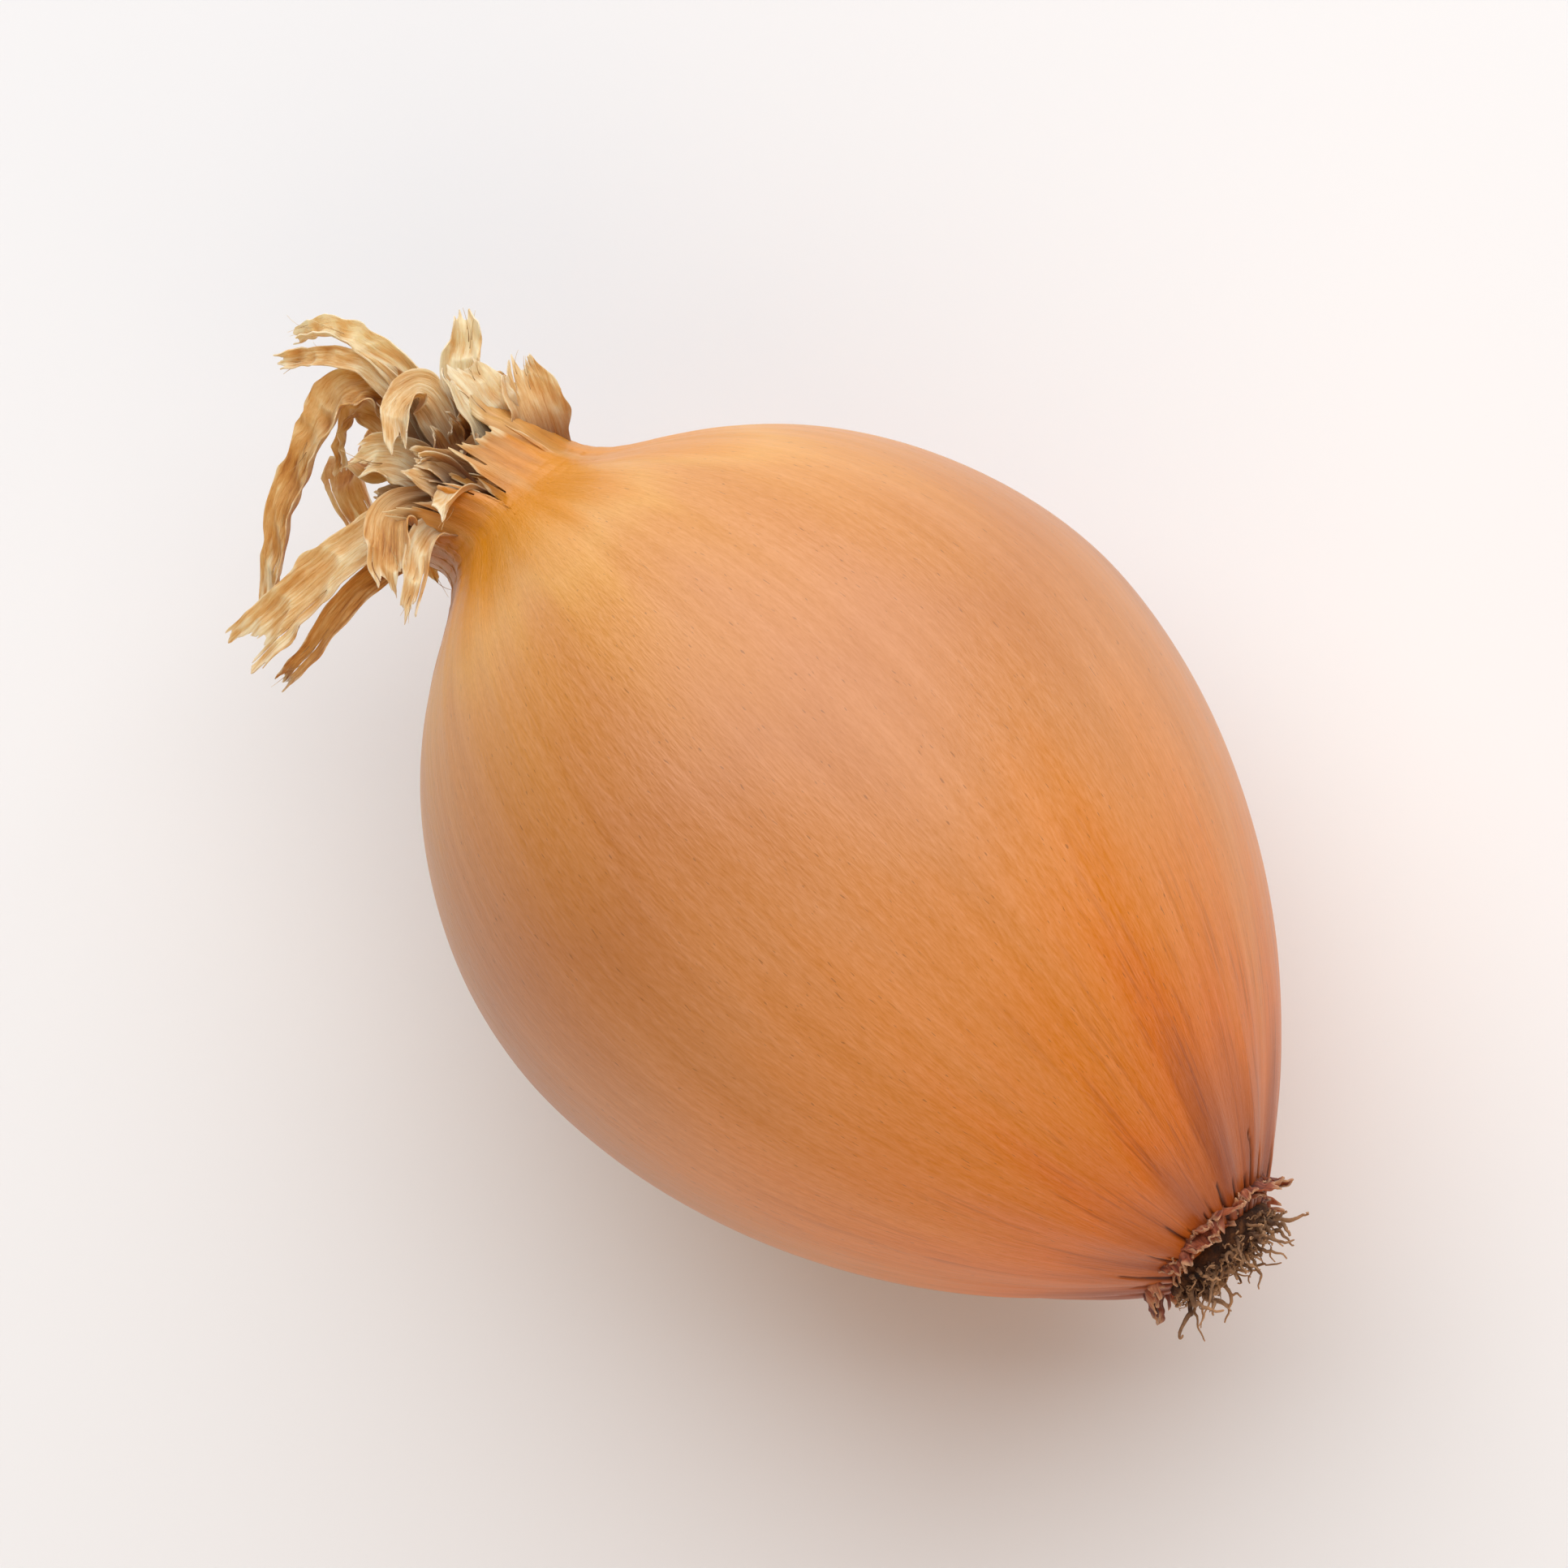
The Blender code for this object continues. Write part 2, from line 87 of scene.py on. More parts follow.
# Fine relief: veins from pole to pole, clearer at both ends, and the wrinkles where the skin gathers there
VEINS = 58
VEIN_HEIGHT = 0.05
VEIN_LENGTH = 30.0
VEIN_BELLY_SHARE = 0.35
VEIN_ROOT = (24.0, 8.0)
VEIN_NECK = (52.0, 68.0)
WRINKLES = 34
WRINKLE_HEIGHT = 0.34
WRINKLE_LENGTH = 5.0
WRINKLE_TWIST = 0.03
WRINKLE_FADE = 7.0
NECK_WRINKLE_SHARE = 0.8
ROOT_RECESS = 0.6

# Dents of the skin: how many round the bulb, their length, depth and seed
DENTS = ((9, 13.0, 0.07, 13), (19, 7.0, 0.035, 14))

# Splits in the skin's edge round the root plate: how many, and the ranges of each one's place in its share
# of the edge, its length and half width. The tongues between them lift from the first height to the second
SLITS = 38
SLIT_PLACE = (0.15, 0.85)
SLIT_TOP = (0.8, 4.4)
SLIT_WIDTH = (0.14, 0.34)
SLIT_DEPTH = 0.3
SLIT_SWAY = 0.4
SLIT_SWAY_LENGTH = 2.5
TONGUE_LIFT = (-0.1, 0.3)
TONGUE_HEIGHTS = (4.5, 0.5)

AXIS_TILT = math.radians(2.0)
FIT_GAP = 0.3

# Torn curls of skin round the root plate: the CAD bulb's own, and smaller scraps between them
CURLS = 11
CURL_RADIUS = 5.7
CURL_FOOT = 1.6
CURL_LENGTH = (2.0, 3.6)
CURL_WIDTH = (1.2, 2.2)
CURL_TAPER = 0.45
CURL_ROLL = (0.8, 1.8)
CURL_TEETH = 0.22
CURL_SWAY = (-0.5, 0.5)
SCRAPS = 46
SCRAP_RADIUS = (4.4, 6.0)
SCRAP_LENGTH = (0.9, 2.6)
SCRAP_WIDTH = (0.4, 1.2)
SCRAP_ROLL = (0.5, 2.6)
SCRAP_SWAY = (-1.2, 1.2)
SKIN_THICKNESS = 0.12

# Neck
CORE_TOP = 80.0
CORE_TOP_RADIUS = 4.2
NECK_LEAN = 3.2
LEAN_POWER = 1.5
LEAN_LIMIT = 1.6

# Dried leaf: its ribs, coarse and fine, and the bundles of fibres in which it tears
LEAF_THICKNESS = 0.1
RIB_HEIGHT = 0.08
RIB_SPACINGS = (0.45, 0.2025)
RIB_LENGTHS = (7.0, 4.0)
BUNDLE = 0.7

# Crumples and creases of each kind of sheet: height, width and length
LEAF_CRUMPLES = (0.3, 1.6, 2.6)
LEAF_CREASES = (0.2, 1.1, 2.2)
COLLAR_CRUMPLES = (0.5, 2.0, 2.4)
COLLAR_CREASES = (0.16, 1.1, 1.6)
CURL_CRUMPLES = (0.34, 0.8, 0.9)
CURL_CREASES = (0.14, 0.5, 0.7)

# How far the torn edges break back: by whole bundles, by small ones and in waves
LEAF_BREAKS = (0.9, 0.35, 0.3)
COLLAR_BREAKS = (1.7, 0.2, 0.5)

# Spacing of the grid points of leaves and curls, along and across, and how many rows a collar sheet has
LEAF_GRID = (0.16, 0.075)
CURL_GRID = (0.13, 0.11)
COLLAR_ROWS = 96

# Torn collar: angle, half width in degrees, height of the top edge and flare
COLLAR = (
    (22, 26, 79.4, 1.4),
    (74, 38, 83.4, 2.8),
    (128, 30, 81.0, 2.6),
    (176, 34, 83.0, 3.2),
    (228, 30, 80.4, 2.8),
    (280, 34, 80.8, 2.6),
    (330, 28, 79.0, 1.6),
)
INNER_COLLAR = (
    (48, 30, 80.6, 0.6),
    (104, 34, 82.0, 1.2),
    (152, 30, 82.4, 1.6),
    (204, 34, 81.6, 1.4),
    (256, 30, 82.0, 1.0),
    (306, 32, 79.6, 0.6),
    (356, 26, 78.6, 0.4),
)
COLLAR_FOOT = 72.9
COLLAR_ROOT = 65.5
COLLAR_SUNK = 0.9
COLLAR_SPREAD = 0.8
COLLAR_TAPER = 0.25
COLLAR_TEETH = 1.6
COLLAR_CROWN = 2.2
COLLAR_BUNDLE = 15.0
COLLAR_TEARS = 3
COLLAR_TEAR_START = 0.66
COLLAR_BRIDGE = 0.87
INNER_LAYER_RISE = 5.0
INNER_LIP_DROP = 1.3
INNER_LAYER_DROP = 0.7

# Long leaves: points (towards the top, towards +Y, height), the widths at foot, middle and tip, how far it
# is cupped, the direction that its face turns to, its tone from brown 0 to cream 1, and its number of tears
LEAVES = {
    "rolled_long": (((0, -1.5, 77), (1.5, 0.6, 85.5), (3, 0, 89.7), (3.4, -1.4, 92.2), (2.5, -3.4, 93.6)),
                    (3.0, 2.0, 1.5), 0.6, (1, 0, 0.5), 0.82, 0),
    "rolled_thin": (((0.5, -2, 77), (2, -0.6, 86), (3.2, -1.8, 89.6), (2.6, -3.5, 91.4), (2, -5.6, 93)),
                    (2.4, 1.5, 1.3), 0.4, (1, 0, 0.5), 0.66, 0),
    "broad_drop": (((-1, -2.5, 77), (1, -0.8, 85.2), (2, -3.0, 87.8), (1.5, -6.2, 87.2), (0, -10.6, 85.9),
                    (-1.5, -14.8, 83.4), (-3, -19.6, 79.4)),
                   (3.6, 3.4, 1.8), 0.7, (1, -0.2, 0.6), 0.5, 2),
    "thin_drop": (((0, -3, 77), (0.5, -2.9, 86), (-0.6, -5.4, 86.4), (-1.6, -8, 84.2)),
                  (2.4, 2.0, 1.4), 0.4, (0.5, -0.5, 1), 0.55, 1),
    "slash": (((2, -4, 76.5), (3.6, -8.6, 78), (3.2, -14.8, 78.7), (1.5, -22.4, 79)),
              (3.0, 4.0, 4.2), 0.25, (1, 0, 0.5), 0.66, 1),
    "slash_under": (((1, -5, 75.5), (2.2, -12, 76.4), (1, -18.3, 75.9), (0, -21.6, 76)),
                    (2.4, 1.8, 1.2), 0.3, (1, 0, 0.3), 0.42, 1),
    "stub_broad": (((3, -3, 75.5), (5.5, -6.3, 77.8), (6.8, -8.6, 76), (6.8, -10.8, 72.9)),
                   (3.5, 3.4, 2.2), 0.4, (1, -0.3, 0.4), 0.52, 1),
    "stub_tail": (((3.5, -3.2, 74.6), (6.2, -6, 75), (7.4, -8.8, 72.9), (7.4, -11.8, 70.8)),
                  (3.0, 1.9, 1.0), 0.4, (1, -0.3, 0.2), 0.78, 1),
    "stub_saw": (((4, -1.5, 75), (5.8, -2.6, 78), (6.6, -3.8, 80.2)),
                 (3.6, 3.6, 3.0), 0.4, (1, 0, 0.1), 0.55, 1),
    "flap": (((4, -0.6, 74.4), (6.8, -2.4, 75.6), (8.4, -4.6, 74)),
             (2.6, 2.4, 1.5), 0.4, (0.7, 0, 0.7), 0.7, 0),
    "cone": (((1.5, 1.5, 77), (2.5, 3.6, 82.4), (2.5, 5.6, 84.4), (3, 7.2, 86.2)),
             (3.0, 2.8, 1.6), 0.9, (1, 0, 0), 0.85, 0),
    "pale_sheet": (((3.2, 2.4, 75), (5, 3, 79.8), (5.8, 3.6, 83.6)),
                   (4.5, 5.0, 4.2), 0.5, (1, 0.5, 0), 0.85, 1),
    "side_sheet": (((2, 4.4, 74), (3.2, 6.2, 77.6), (3.4, 7.6, 81.4)),
                   (3.6, 4.4, 1.6), 0.4, (1, 0.5, 0), 0.66, 1),
    "lobe": (((1.5, -2.5, 77), (3.4, -4.2, 81.6), (4.2, -6.8, 83)),
             (3.6, 3.6, 2.6), 0.5, (1, 0, 0.4), 0.74, 1),
    "folded_strip": (((2, -0.5, 77), (3, 0.8, 83.2), (4.6, -1.2, 83.6), (6, -3.7, 80.4)),
                     (3.0, 3.0, 2.0), 0.4, (1, 0, 0.7), 0.68, 1),
    "back_fold": (((-1, 1, 77), (-4, 2.5, 82.5), (-7.5, 4, 83.5), (-11, 5, 81)),
                  (4.0, 3.8, 2.2), 0.7, (-0.6, 0.6, 1), 0.6, 2),
    "back_drop": (((-2, -3, 77), (-5.5, -5, 85), (-10, -7.5, 86), (-15, -9.5, 82)),
                  (4.2, 4.0, 2.4), 0.7, (-0.6, -0.5, 1), 0.5, 2),
    "back_strip": (((-3, 0, 76), (-7.5, 1, 81), (-12.5, 0, 82.5)),
                   (3.4, 3.0, 2.2), 0.4, (-0.5, 0, 1), 0.66, 1),
    "back_stub": (((-3, -4, 75), (-7.5, -6.5, 77.5), (-10, -7.8, 75)),
                  (3.4, 3.0, 1.8), 0.4, (-0.7, -0.3, 0.6), 0.58, 1),
}
LEAF_TEETH = 0.16
TOOTH_LIMIT = 1.3
TOOTH_WAVES = (2.2, 3.4)
LEAF_TWIST = 0.5
LEAF_TEAR_START = 0.5
EDGE_WANDER = 0.13
EDGE_WANDER_LENGTH = 1.3
EDGE_CURL = 0.25
PANEL_NARROWING = 0.13
PANEL_LIFT = 0.6
CREASE_SLANT = 0.275
# Painted shade down in the neck: full over a leaf's first millimetre, gone after five
SHADE_TRAVEL = (1.0, 5.0)

# Broken bits of leaf that fill the torn neck: how many, and the ranges of their foot, size and tone
SHREDS = 26
SHRED_FOOT_RADIUS = (1.5, 4.6)
SHRED_FOOT_HEIGHT = (75.5, 77.5)
SHRED_LENGTH = (2.5, 6.0)
SHRED_WIDTH = (1.0, 2.8)
SHRED_TONE = (0.2, 0.8)

# Rolled sheet inside the collar, and its torn edge: the tears' depth, number, seed and noise period
SCROLL_GRID = (64, 420)
SCROLL_TURNS = 3.0
SCROLL_OUTER = 5.3
SCROLL_INNER = 0.9
SCROLL_FLATNESS = 0.75
SCROLL_ARC_RADIUS = 3.2
SCROLL_TEARS = ((1.3, 40, 71, 64), (0.6, 130, 72, 256))

# Single fibres at the torn ends of the long leaves: how many each, and the ranges of length and radius
FRAYS = 4
FRAY_LENGTH = (0.8, 2.4)
FRAY_RADIUS = (0.02, 0.045)

# Roots: a low dome, the plate, and the dried rootlets that grow out of it; the CAD tuft's own come first
PLATE_RADIUS = 4.5
PLATE_DOME = 1.5
PLATE_RIM = 0.9
PLATE_GRID = (40, 96)
PLATE_BUMP = 0.3
PLATE_BACK = 0.7
ROOM_RIM = 0.6
CAD_ROOTLETS = 34
CAD_ROOTLET_RADIUS = 0.32
ROOTLETS = 210
ROOTLET_POINTS = 7
ROOTLET_RINGS = 22
ROOTLET_LENGTH = (2.4, 5.2)
SHORT_ROOTLET_LENGTH = (0.7, 2.9)
ROOTLET_RADIUS = (0.11, 0.26)
THIN_ROOTLET_RADIUS = (0.06, 0.17)
SHORT_ROOTLET_RIM = 0.3
SHORT_ROOTLET_DEPTH = 0.9
SHORT_ROOTLET_WANDER = 2.2
ROOTLET_SPREAD = 0.85
ROOTLET_WANDER = 0.34
ROOTLET_KINK = 0.3
ROOTLET_KNOT = 0.22
ROOTLET_TAPER = 0.65
GOLDEN_ANGLE = math.radians(137.508)

# Patterns, each as how many go to a millimetre. On the skin, fibres lie 0.5 mm apart, their bundles 2 mm
# and veins 1.2 mm; patches are 9 mm wide, smudges 3 mm and flecks 0.15 mm. The skin's cells, 0.1 mm wide,
# are too fine to show, so its grain is drawn at 0.2 mm. On dried leaf, fibres lie 0.2 mm apart and stains
# are 2 mm wide. The grain of rootlets is 0.4 mm and the root plate's clumps are 1.1 mm
GRAINS_PER_MM = 5.0
FIBRES_PER_MM = 2.0
BUNDLES_PER_MM = 0.5
PATCHES_PER_MM = 0.11
VEINS_PER_MM = 0.8
VEIN_BREAKS_PER_MM = 0.7
FLECKS_PER_MM = 6.5
SMUDGES_PER_MM = 0.35
LEAF_FIBRES_PER_MM = 5.5
LEAF_STAINS_PER_MM = 0.5
ROOT_FIBRES_PER_MM = 2.5
ROOT_CLUMPS_PER_MM = 0.9
CELLULOSE_IOR = 1.47

# The photograph looks down on an onion with the neck to the upper left and the root end, raised a little, to
# the lower right, so the camera stands off to the root side
CAMERA_ROLL = math.radians(46.5)
CAMERA_TILT = math.radians(12.0)
CAMERA_LENS = 180.0
SENSOR = 36.0
VIEW_WIDTH = 0.112
NEAREST_SEEN = 0.01

# Soft square lights: metres towards the picture's top and right, height, side, power and colour
LIGHTS = {
    "key": (0.64, 0.02, 0.71, 1.6, 17.0, (1.0, 1.0, 1.0)),
    "fill": (-0.5, 0.2, 0.5, 0.7, 2.2, (1.0, 0.74, 0.5)),
}
SURROUND_STRENGTH = 0.2
FLOOR_REACH = 4.0


def onion_axis():
    """The turn and the shift that lay the upright onion down: the CAD bulb's flat neck end is its top."""
    turn = np.array(Matrix.Rotation(AXIS_TILT - math.pi / 2, 3, "Y"))
    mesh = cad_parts["bulb"].data
    places = np.empty(len(mesh.vertices) * 3, np.float32)
    mesh.vertices.foreach_get("co", places)
    places = places.reshape(-1, 3).astype(float)
    along = places @ turn[:, 2]
    neck_end = np.unique(np.round(places[along > along.max() - 0.01 * MM], 6), axis=0)
    return turn, neck_end.mean(axis=0) - turn[:, 2] * BULB_TOP * MM


TURN, SHIFT = onion_axis()


def lay_down(upright):
    """Upright millimetres to the row frame's metres: turned, shifted, and nothing left below the floor."""
    laid = upright @ TURN.T * MM + SHIFT
    laid[..., 2] = np.maximum(laid[..., 2], 0.0)
    return laid


def value_noise(x, y, seed, period=NOISE_PERIOD):
    """Smooth noise from -1 to 1: random heights on a square lattice, joined by smoothstep; x repeats."""
    lattice = np.random.default_rng(seed).uniform(-1.0, 1.0, (period, NOISE_PERIOD))
    x, y = np.broadcast_arrays(np.asarray(x, float), np.asarray(y, float))
    column, row = np.floor(x).astype(int), np.floor(y).astype(int)
    a, b = x - column, y - row
    a, b = a * a * (3.0 - 2.0 * a), b * b * (3.0 - 2.0 * b)
    left, right = column % period, (column + 1) % period
    low, high = row % NOISE_PERIOD, (row + 1) % NOISE_PERIOD
    lower = lattice[left, low] * (1.0 - a) + lattice[right, low] * a
    upper = lattice[left, high] * (1.0 - a) + lattice[right, high] * a
    return lower * (1.0 - b) + upper * b


def smoothstep(value, start, end):
    """0 before start, 1 after end, and an S-curve between them."""
    share = np.clip((value - start) / (end - start), 0.0, 1.0)
    return share * share * (3.0 - 2.0 * share)


def bell(distance, reach):
    """1 at no distance, and a bell curve's fall to about a third at the reach."""
    return np.exp(-((distance / reach) ** 2))


def around(radius, angle, height):
    """Points at a radius and an angle round the onion's axis, and at a height."""
    return np.stack([radius * np.cos(angle), radius * np.sin(angle), height], axis=-1)


def unit(vectors):
    """Vectors at length 1."""
    return vectors / np.linalg.norm(vectors, axis=-1, keepdims=True)


def path_curve(points, position):
    """Places and directions on a smooth curve (Catmull-Rom) through the points, position from 0 to 1."""
    points = np.asarray(points, float)
    ends = np.concatenate([[2 * points[0] - points[1]], points, [2 * points[-1] - points[-2]]])
    reach = position * (len(points) - 1)
    span = np.clip(reach.astype(int), 0, len(points) - 2)
    t = (reach - span)[..., None]
    a, b, c, d = (ends[span + step] for step in range(4))
    bend, skew = 2 * a - 5 * b + 4 * c - d, 3 * b - a - 3 * c + d
    place = 0.5 * (2 * b + (c - a) * t + bend * t**2 + skew * t**3)
    slope = 0.5 * ((c - a) + 2 * bend * t + 3 * skew * t**2)
    return place, unit(slope)


def bulb_radius(height):
    """Radius of the skin at a height: two superellipse halves, added to a narrow neck by a soft maximum."""
    below = np.clip((WIDEST_HEIGHT - height) / ROOT_REACH, 0.0, 1.0)
    above = np.clip((height - WIDEST_HEIGHT) / SHOULDER_REACH, 0.0, 1.0)
    root_half = (1.0 - below ** ROOT_POWERS[0]) ** ROOT_POWERS[1]
    neck_half = (1.0 - above ** SHOULDER_POWERS[0]) ** SHOULDER_POWERS[1]
    body = EQUATOR_RADIUS * np.where(height < WIDEST_HEIGHT, root_half, neck_half)
    return (body**NECK_BLEND + (NECK_RADIUS * above) ** NECK_BLEND) ** (1.0 / NECK_BLEND)


def skin_relief(angle, height):
    """How far the CAD bulb's skin stands out of the round shape: lobes that fade at both ends, and pleats
    that deepen there."""
    belly = np.sin(math.pi * np.clip(height / BULB_TOP, 0.0, 1.0))
    lobes = sum(depth * np.cos(count * angle + phase) for count, depth, phase in LOBES)
    pleats = sum(bell(end - height, reach) * depth * (np.cos(count * angle + phase) - 1.0) / 2.0
                 for count, depth, phase, end, reach in PLEATS)
    return belly * lobes + pleats


def fine_relief(angle, height):
    """Veins: ridged noise round the axis, nearly even along it. Wrinkles: fewer and deeper, where the skin
    gathers. Dents: broad noise. All of it stays within about a third of a millimetre of the CAD shape."""
    turn = (angle / math.tau) % 1.0
    gathers = np.maximum(smoothstep(height, *VEIN_ROOT), smoothstep(height, *VEIN_NECK))
    veins = 1.0 - 2.0 * np.abs(value_noise(turn * VEINS, height / VEIN_LENGTH, 11, VEINS))
    veins = veins * (VEIN_BELLY_SHARE + (1.0 - VEIN_BELLY_SHARE) * gathers)
    wrinkles = value_noise(turn * WRINKLES + WRINKLE_TWIST * height, height / WRINKLE_LENGTH, 12, WRINKLES)
    gathered = bell(height, WRINKLE_FADE) + NECK_WRINKLE_SHARE * bell(BULB_TOP - height, WRINKLE_FADE)
    dents = sum(depth * value_noise(turn * count, height / length, seed, count)
                for count, length, depth, seed in DENTS)
    return VEIN_HEIGHT * veins + WRINKLE_HEIGHT * wrinkles * gathered + dents


def rim_slits(angle, height):
    """Splits in the skin's edge, each with its own place, length and width, that end in a point, and the
    tongues between them, that stand up by different amounts. Gives how open a split is, 0 to 1, and how far
    the tongue lifts."""
    draw = np.random.default_rng(51)
    centre, lift = draw.uniform(*SLIT_PLACE, SLITS), draw.uniform(*TONGUE_LIFT, SLITS)
    top, wide = draw.uniform(*SLIT_TOP, SLITS), draw.uniform(*SLIT_WIDTH, SLITS)
    sway = SLIT_SWAY * value_noise(3.0, height / SLIT_SWAY_LENGTH, 52)
    place = ((angle / math.tau) % 1.0 * SLITS + sway) % SLITS
    cell = np.floor(place).astype(int) % SLITS
    half = wide[cell] * np.sqrt(np.maximum(1.0 - height / top[cell], 0.0)) + 0.001
    apart = np.abs(place - cell - centre[cell]) * math.tau * bulb_radius(height) / SLITS
    opened = smoothstep(apart, half, 0.2 * half) * (height < top[cell])
    tongue = np.where(place - cell > centre[cell], lift[cell], lift[cell - 1])
    return opened, tongue * smoothstep(height, *TONGUE_HEIGHTS)


def skin_radius(angle, height):
    """Radius of the finished skin: the round shape, both reliefs and the lifted tongues, less the splits."""
    opened, lifted = rim_slits(angle, height)
    relief = skin_relief(angle, height) + fine_relief(angle, height)
    return bulb_radius(height) + relief + lifted - SLIT_DEPTH * opened


def meridian():
    """Heights and distances along the bulb's outline, from the root end to the neck end."""
    height = np.linspace(0.0, BULB_TOP, OUTLINE_SAMPLES)
    steps = np.hypot(np.diff(height), np.diff(bulb_radius(height)))
    return height, np.concatenate([[0.0], np.cumsum(steps)])


MERIDIAN_HEIGHT, MERIDIAN_LENGTH = meridian()


def fibre_place(angle, height):
    """Where a point lies in the skin's weave of fibres: on a round tube of the widest girth, by its
    distance from the root along the skin. Noise that is long in the third direction then runs from pole to
    pole."""
    extra = np.maximum(height - BULB_TOP, 0.0)
    length = np.interp(height, MERIDIAN_HEIGHT, MERIDIAN_LENGTH) + extra
    return around(EQUATOR_RADIUS, angle, length)


def neck_lean(height):
    """How far the neck has bent towards -Y: nothing at the bulb's top, NECK_LEAN at the core's top."""
    rise = np.maximum((height - BULB_TOP) / (CORE_TOP - BULB_TOP), 0.0)
    return NECK_LEAN * np.minimum(rise, LEAN_LIMIT) ** LEAN_POWER


def sheet_grid(rows, columns):
    """Each grid point's place along a sheet, from 0 to 1, and across it, from -1 to 1."""
    return np.meshgrid(np.linspace(0, 1, rows), np.linspace(-1, 1, columns), indexing="ij")


def grid_quads(rows, columns, keep, start):
    """The quads of a rows by columns grid of points, numbered from start, without those where keep is
    false."""
    corner = np.arange(rows * columns).reshape(rows, columns) + start
    quads = np.stack([corner[:-1, :-1], corner[:-1, 1:], corner[1:, 1:], corner[1:, :-1]], axis=-1)
    return quads.reshape(-1, 4) if keep is None else quads[keep]


def closed_faces(rings, sides):
    """Quads between closed rings of points, and fans that close both ends from the two points numbered
    after all the rings."""
    corner = np.arange(rings * sides).reshape(rings, sides)
    following = np.roll(corner, -1, axis=1)
    quads = np.stack([corner[:-1], corner[1:], following[1:], following[:-1]], axis=-1).reshape(-1, 4)
    first, last = np.full(sides, corner.size), np.full(sides, corner.size + 1)
    fans = np.concatenate([np.stack([first, corner[0], following[0]], axis=-1),
                           np.stack([last, following[-1], corner[-1]], axis=-1)])
    return quads, fans


def mesh_piece(name, points, faces, attributes):
    """An object with this mesh, smooth, with one value or vector for each point of each attribute."""
    mesh = bpy.data.meshes.new(name)
    mesh.from_pydata(points.tolist(), [], faces)
    for label, values in attributes.items():
        vector = values.ndim == 2
        attribute = mesh.attributes.new(label, "FLOAT_VECTOR" if vector else "FLOAT", "POINT")
        attribute.data.foreach_set("vector" if vector else "value", values.astype(np.float32).ravel())
    mesh.shade_smooth()
    piece = bpy.data.objects.new(name, mesh)
    bpy.context.scene.collection.objects.link(piece)
    return piece


def sheet_piece(name, sheets, thickness):
    """Joins bent grids in one object and gives them their thickness. A sheet is its points, which quads to
    keep, and its attributes."""
    points, quads, attributes, start = [], [], {}, 0
    for place, keep, values in sheets:
        rows, columns = place.shape[:2]
        quads.append(grid_quads(rows, columns, keep, start))
        points.append(place.reshape(-1, 3))
        for label, value in values.items():
            attributes.setdefault(label, []).append(value.reshape(rows * columns, *value.shape[2:]))
        start += rows * columns
    points = lay_down(np.concatenate(points))
    used, faces = np.unique(np.concatenate(quads), return_inverse=True)
    attributes = {label: np.concatenate(values)[used] for label, values in attributes.items()}
    piece = mesh_piece(name, points[used], faces.reshape(-1, 4).tolist(), attributes)
    solidify = piece.modifiers.new("thickness", "SOLIDIFY")
    solidify.thickness = thickness * MM
    solidify.offset = 0.0
    bpy.context.view_layer.update()
    graph = bpy.context.evaluated_depsgraph_get()
    solid = bpy.data.meshes.new_from_object(piece.evaluated_get(graph))
    solid.name = name
    piece.modifiers.clear()
    piece.data = solid
    solid.set_sharp_from_angle(angle=math.radians(55))
    return piece


def tube_piece(name, paths, radii, sides, tone):
    """Round tubes along many paths at once, paths being (tubes, points, 3): each ring stands square to its
    path, and a point closes each end. Attributes give the place along a tube and each tube's tone."""
    tubes, rings = paths.shape[:2]
    forward = unit(np.gradient(paths, axis=1))
    side = unit(np.cross(forward, np.array([0.31, 0.27, 0.91])))
    up = np.cross(side, forward)
    turn = np.linspace(0.0, math.tau, sides, endpoint=False)[:, None]
    ring = np.cos(turn) * side[:, :, None] + np.sin(turn) * up[:, :, None]
    skin = paths[:, :, None] + radii[:, :, None, None] * ring
    start = paths[:, 0] - forward[:, 0] * radii[:, :1]
    end = paths[:, -1] + forward[:, -1] * radii[:, -1:]
    points = np.concatenate([skin.reshape(tubes, -1, 3), np.stack([start, end], 1)], axis=1)
    quads, fans = closed_faces(rings, sides)
    shift = (np.arange(tubes) * points.shape[1])[:, None, None]
    faces = (quads + shift).reshape(-1, 4).tolist() + (fans + shift).reshape(-1, 3).tolist()
    along = np.concatenate([np.repeat(np.linspace(0.0, 1.0, rings), sides), [0.0, 1.0]])
    attributes = {"along": np.tile(along, tubes), "tone": np.repeat(tone, points.shape[1])}
    return mesh_piece(name, lay_down(points.reshape(-1, 3)), faces, attributes)


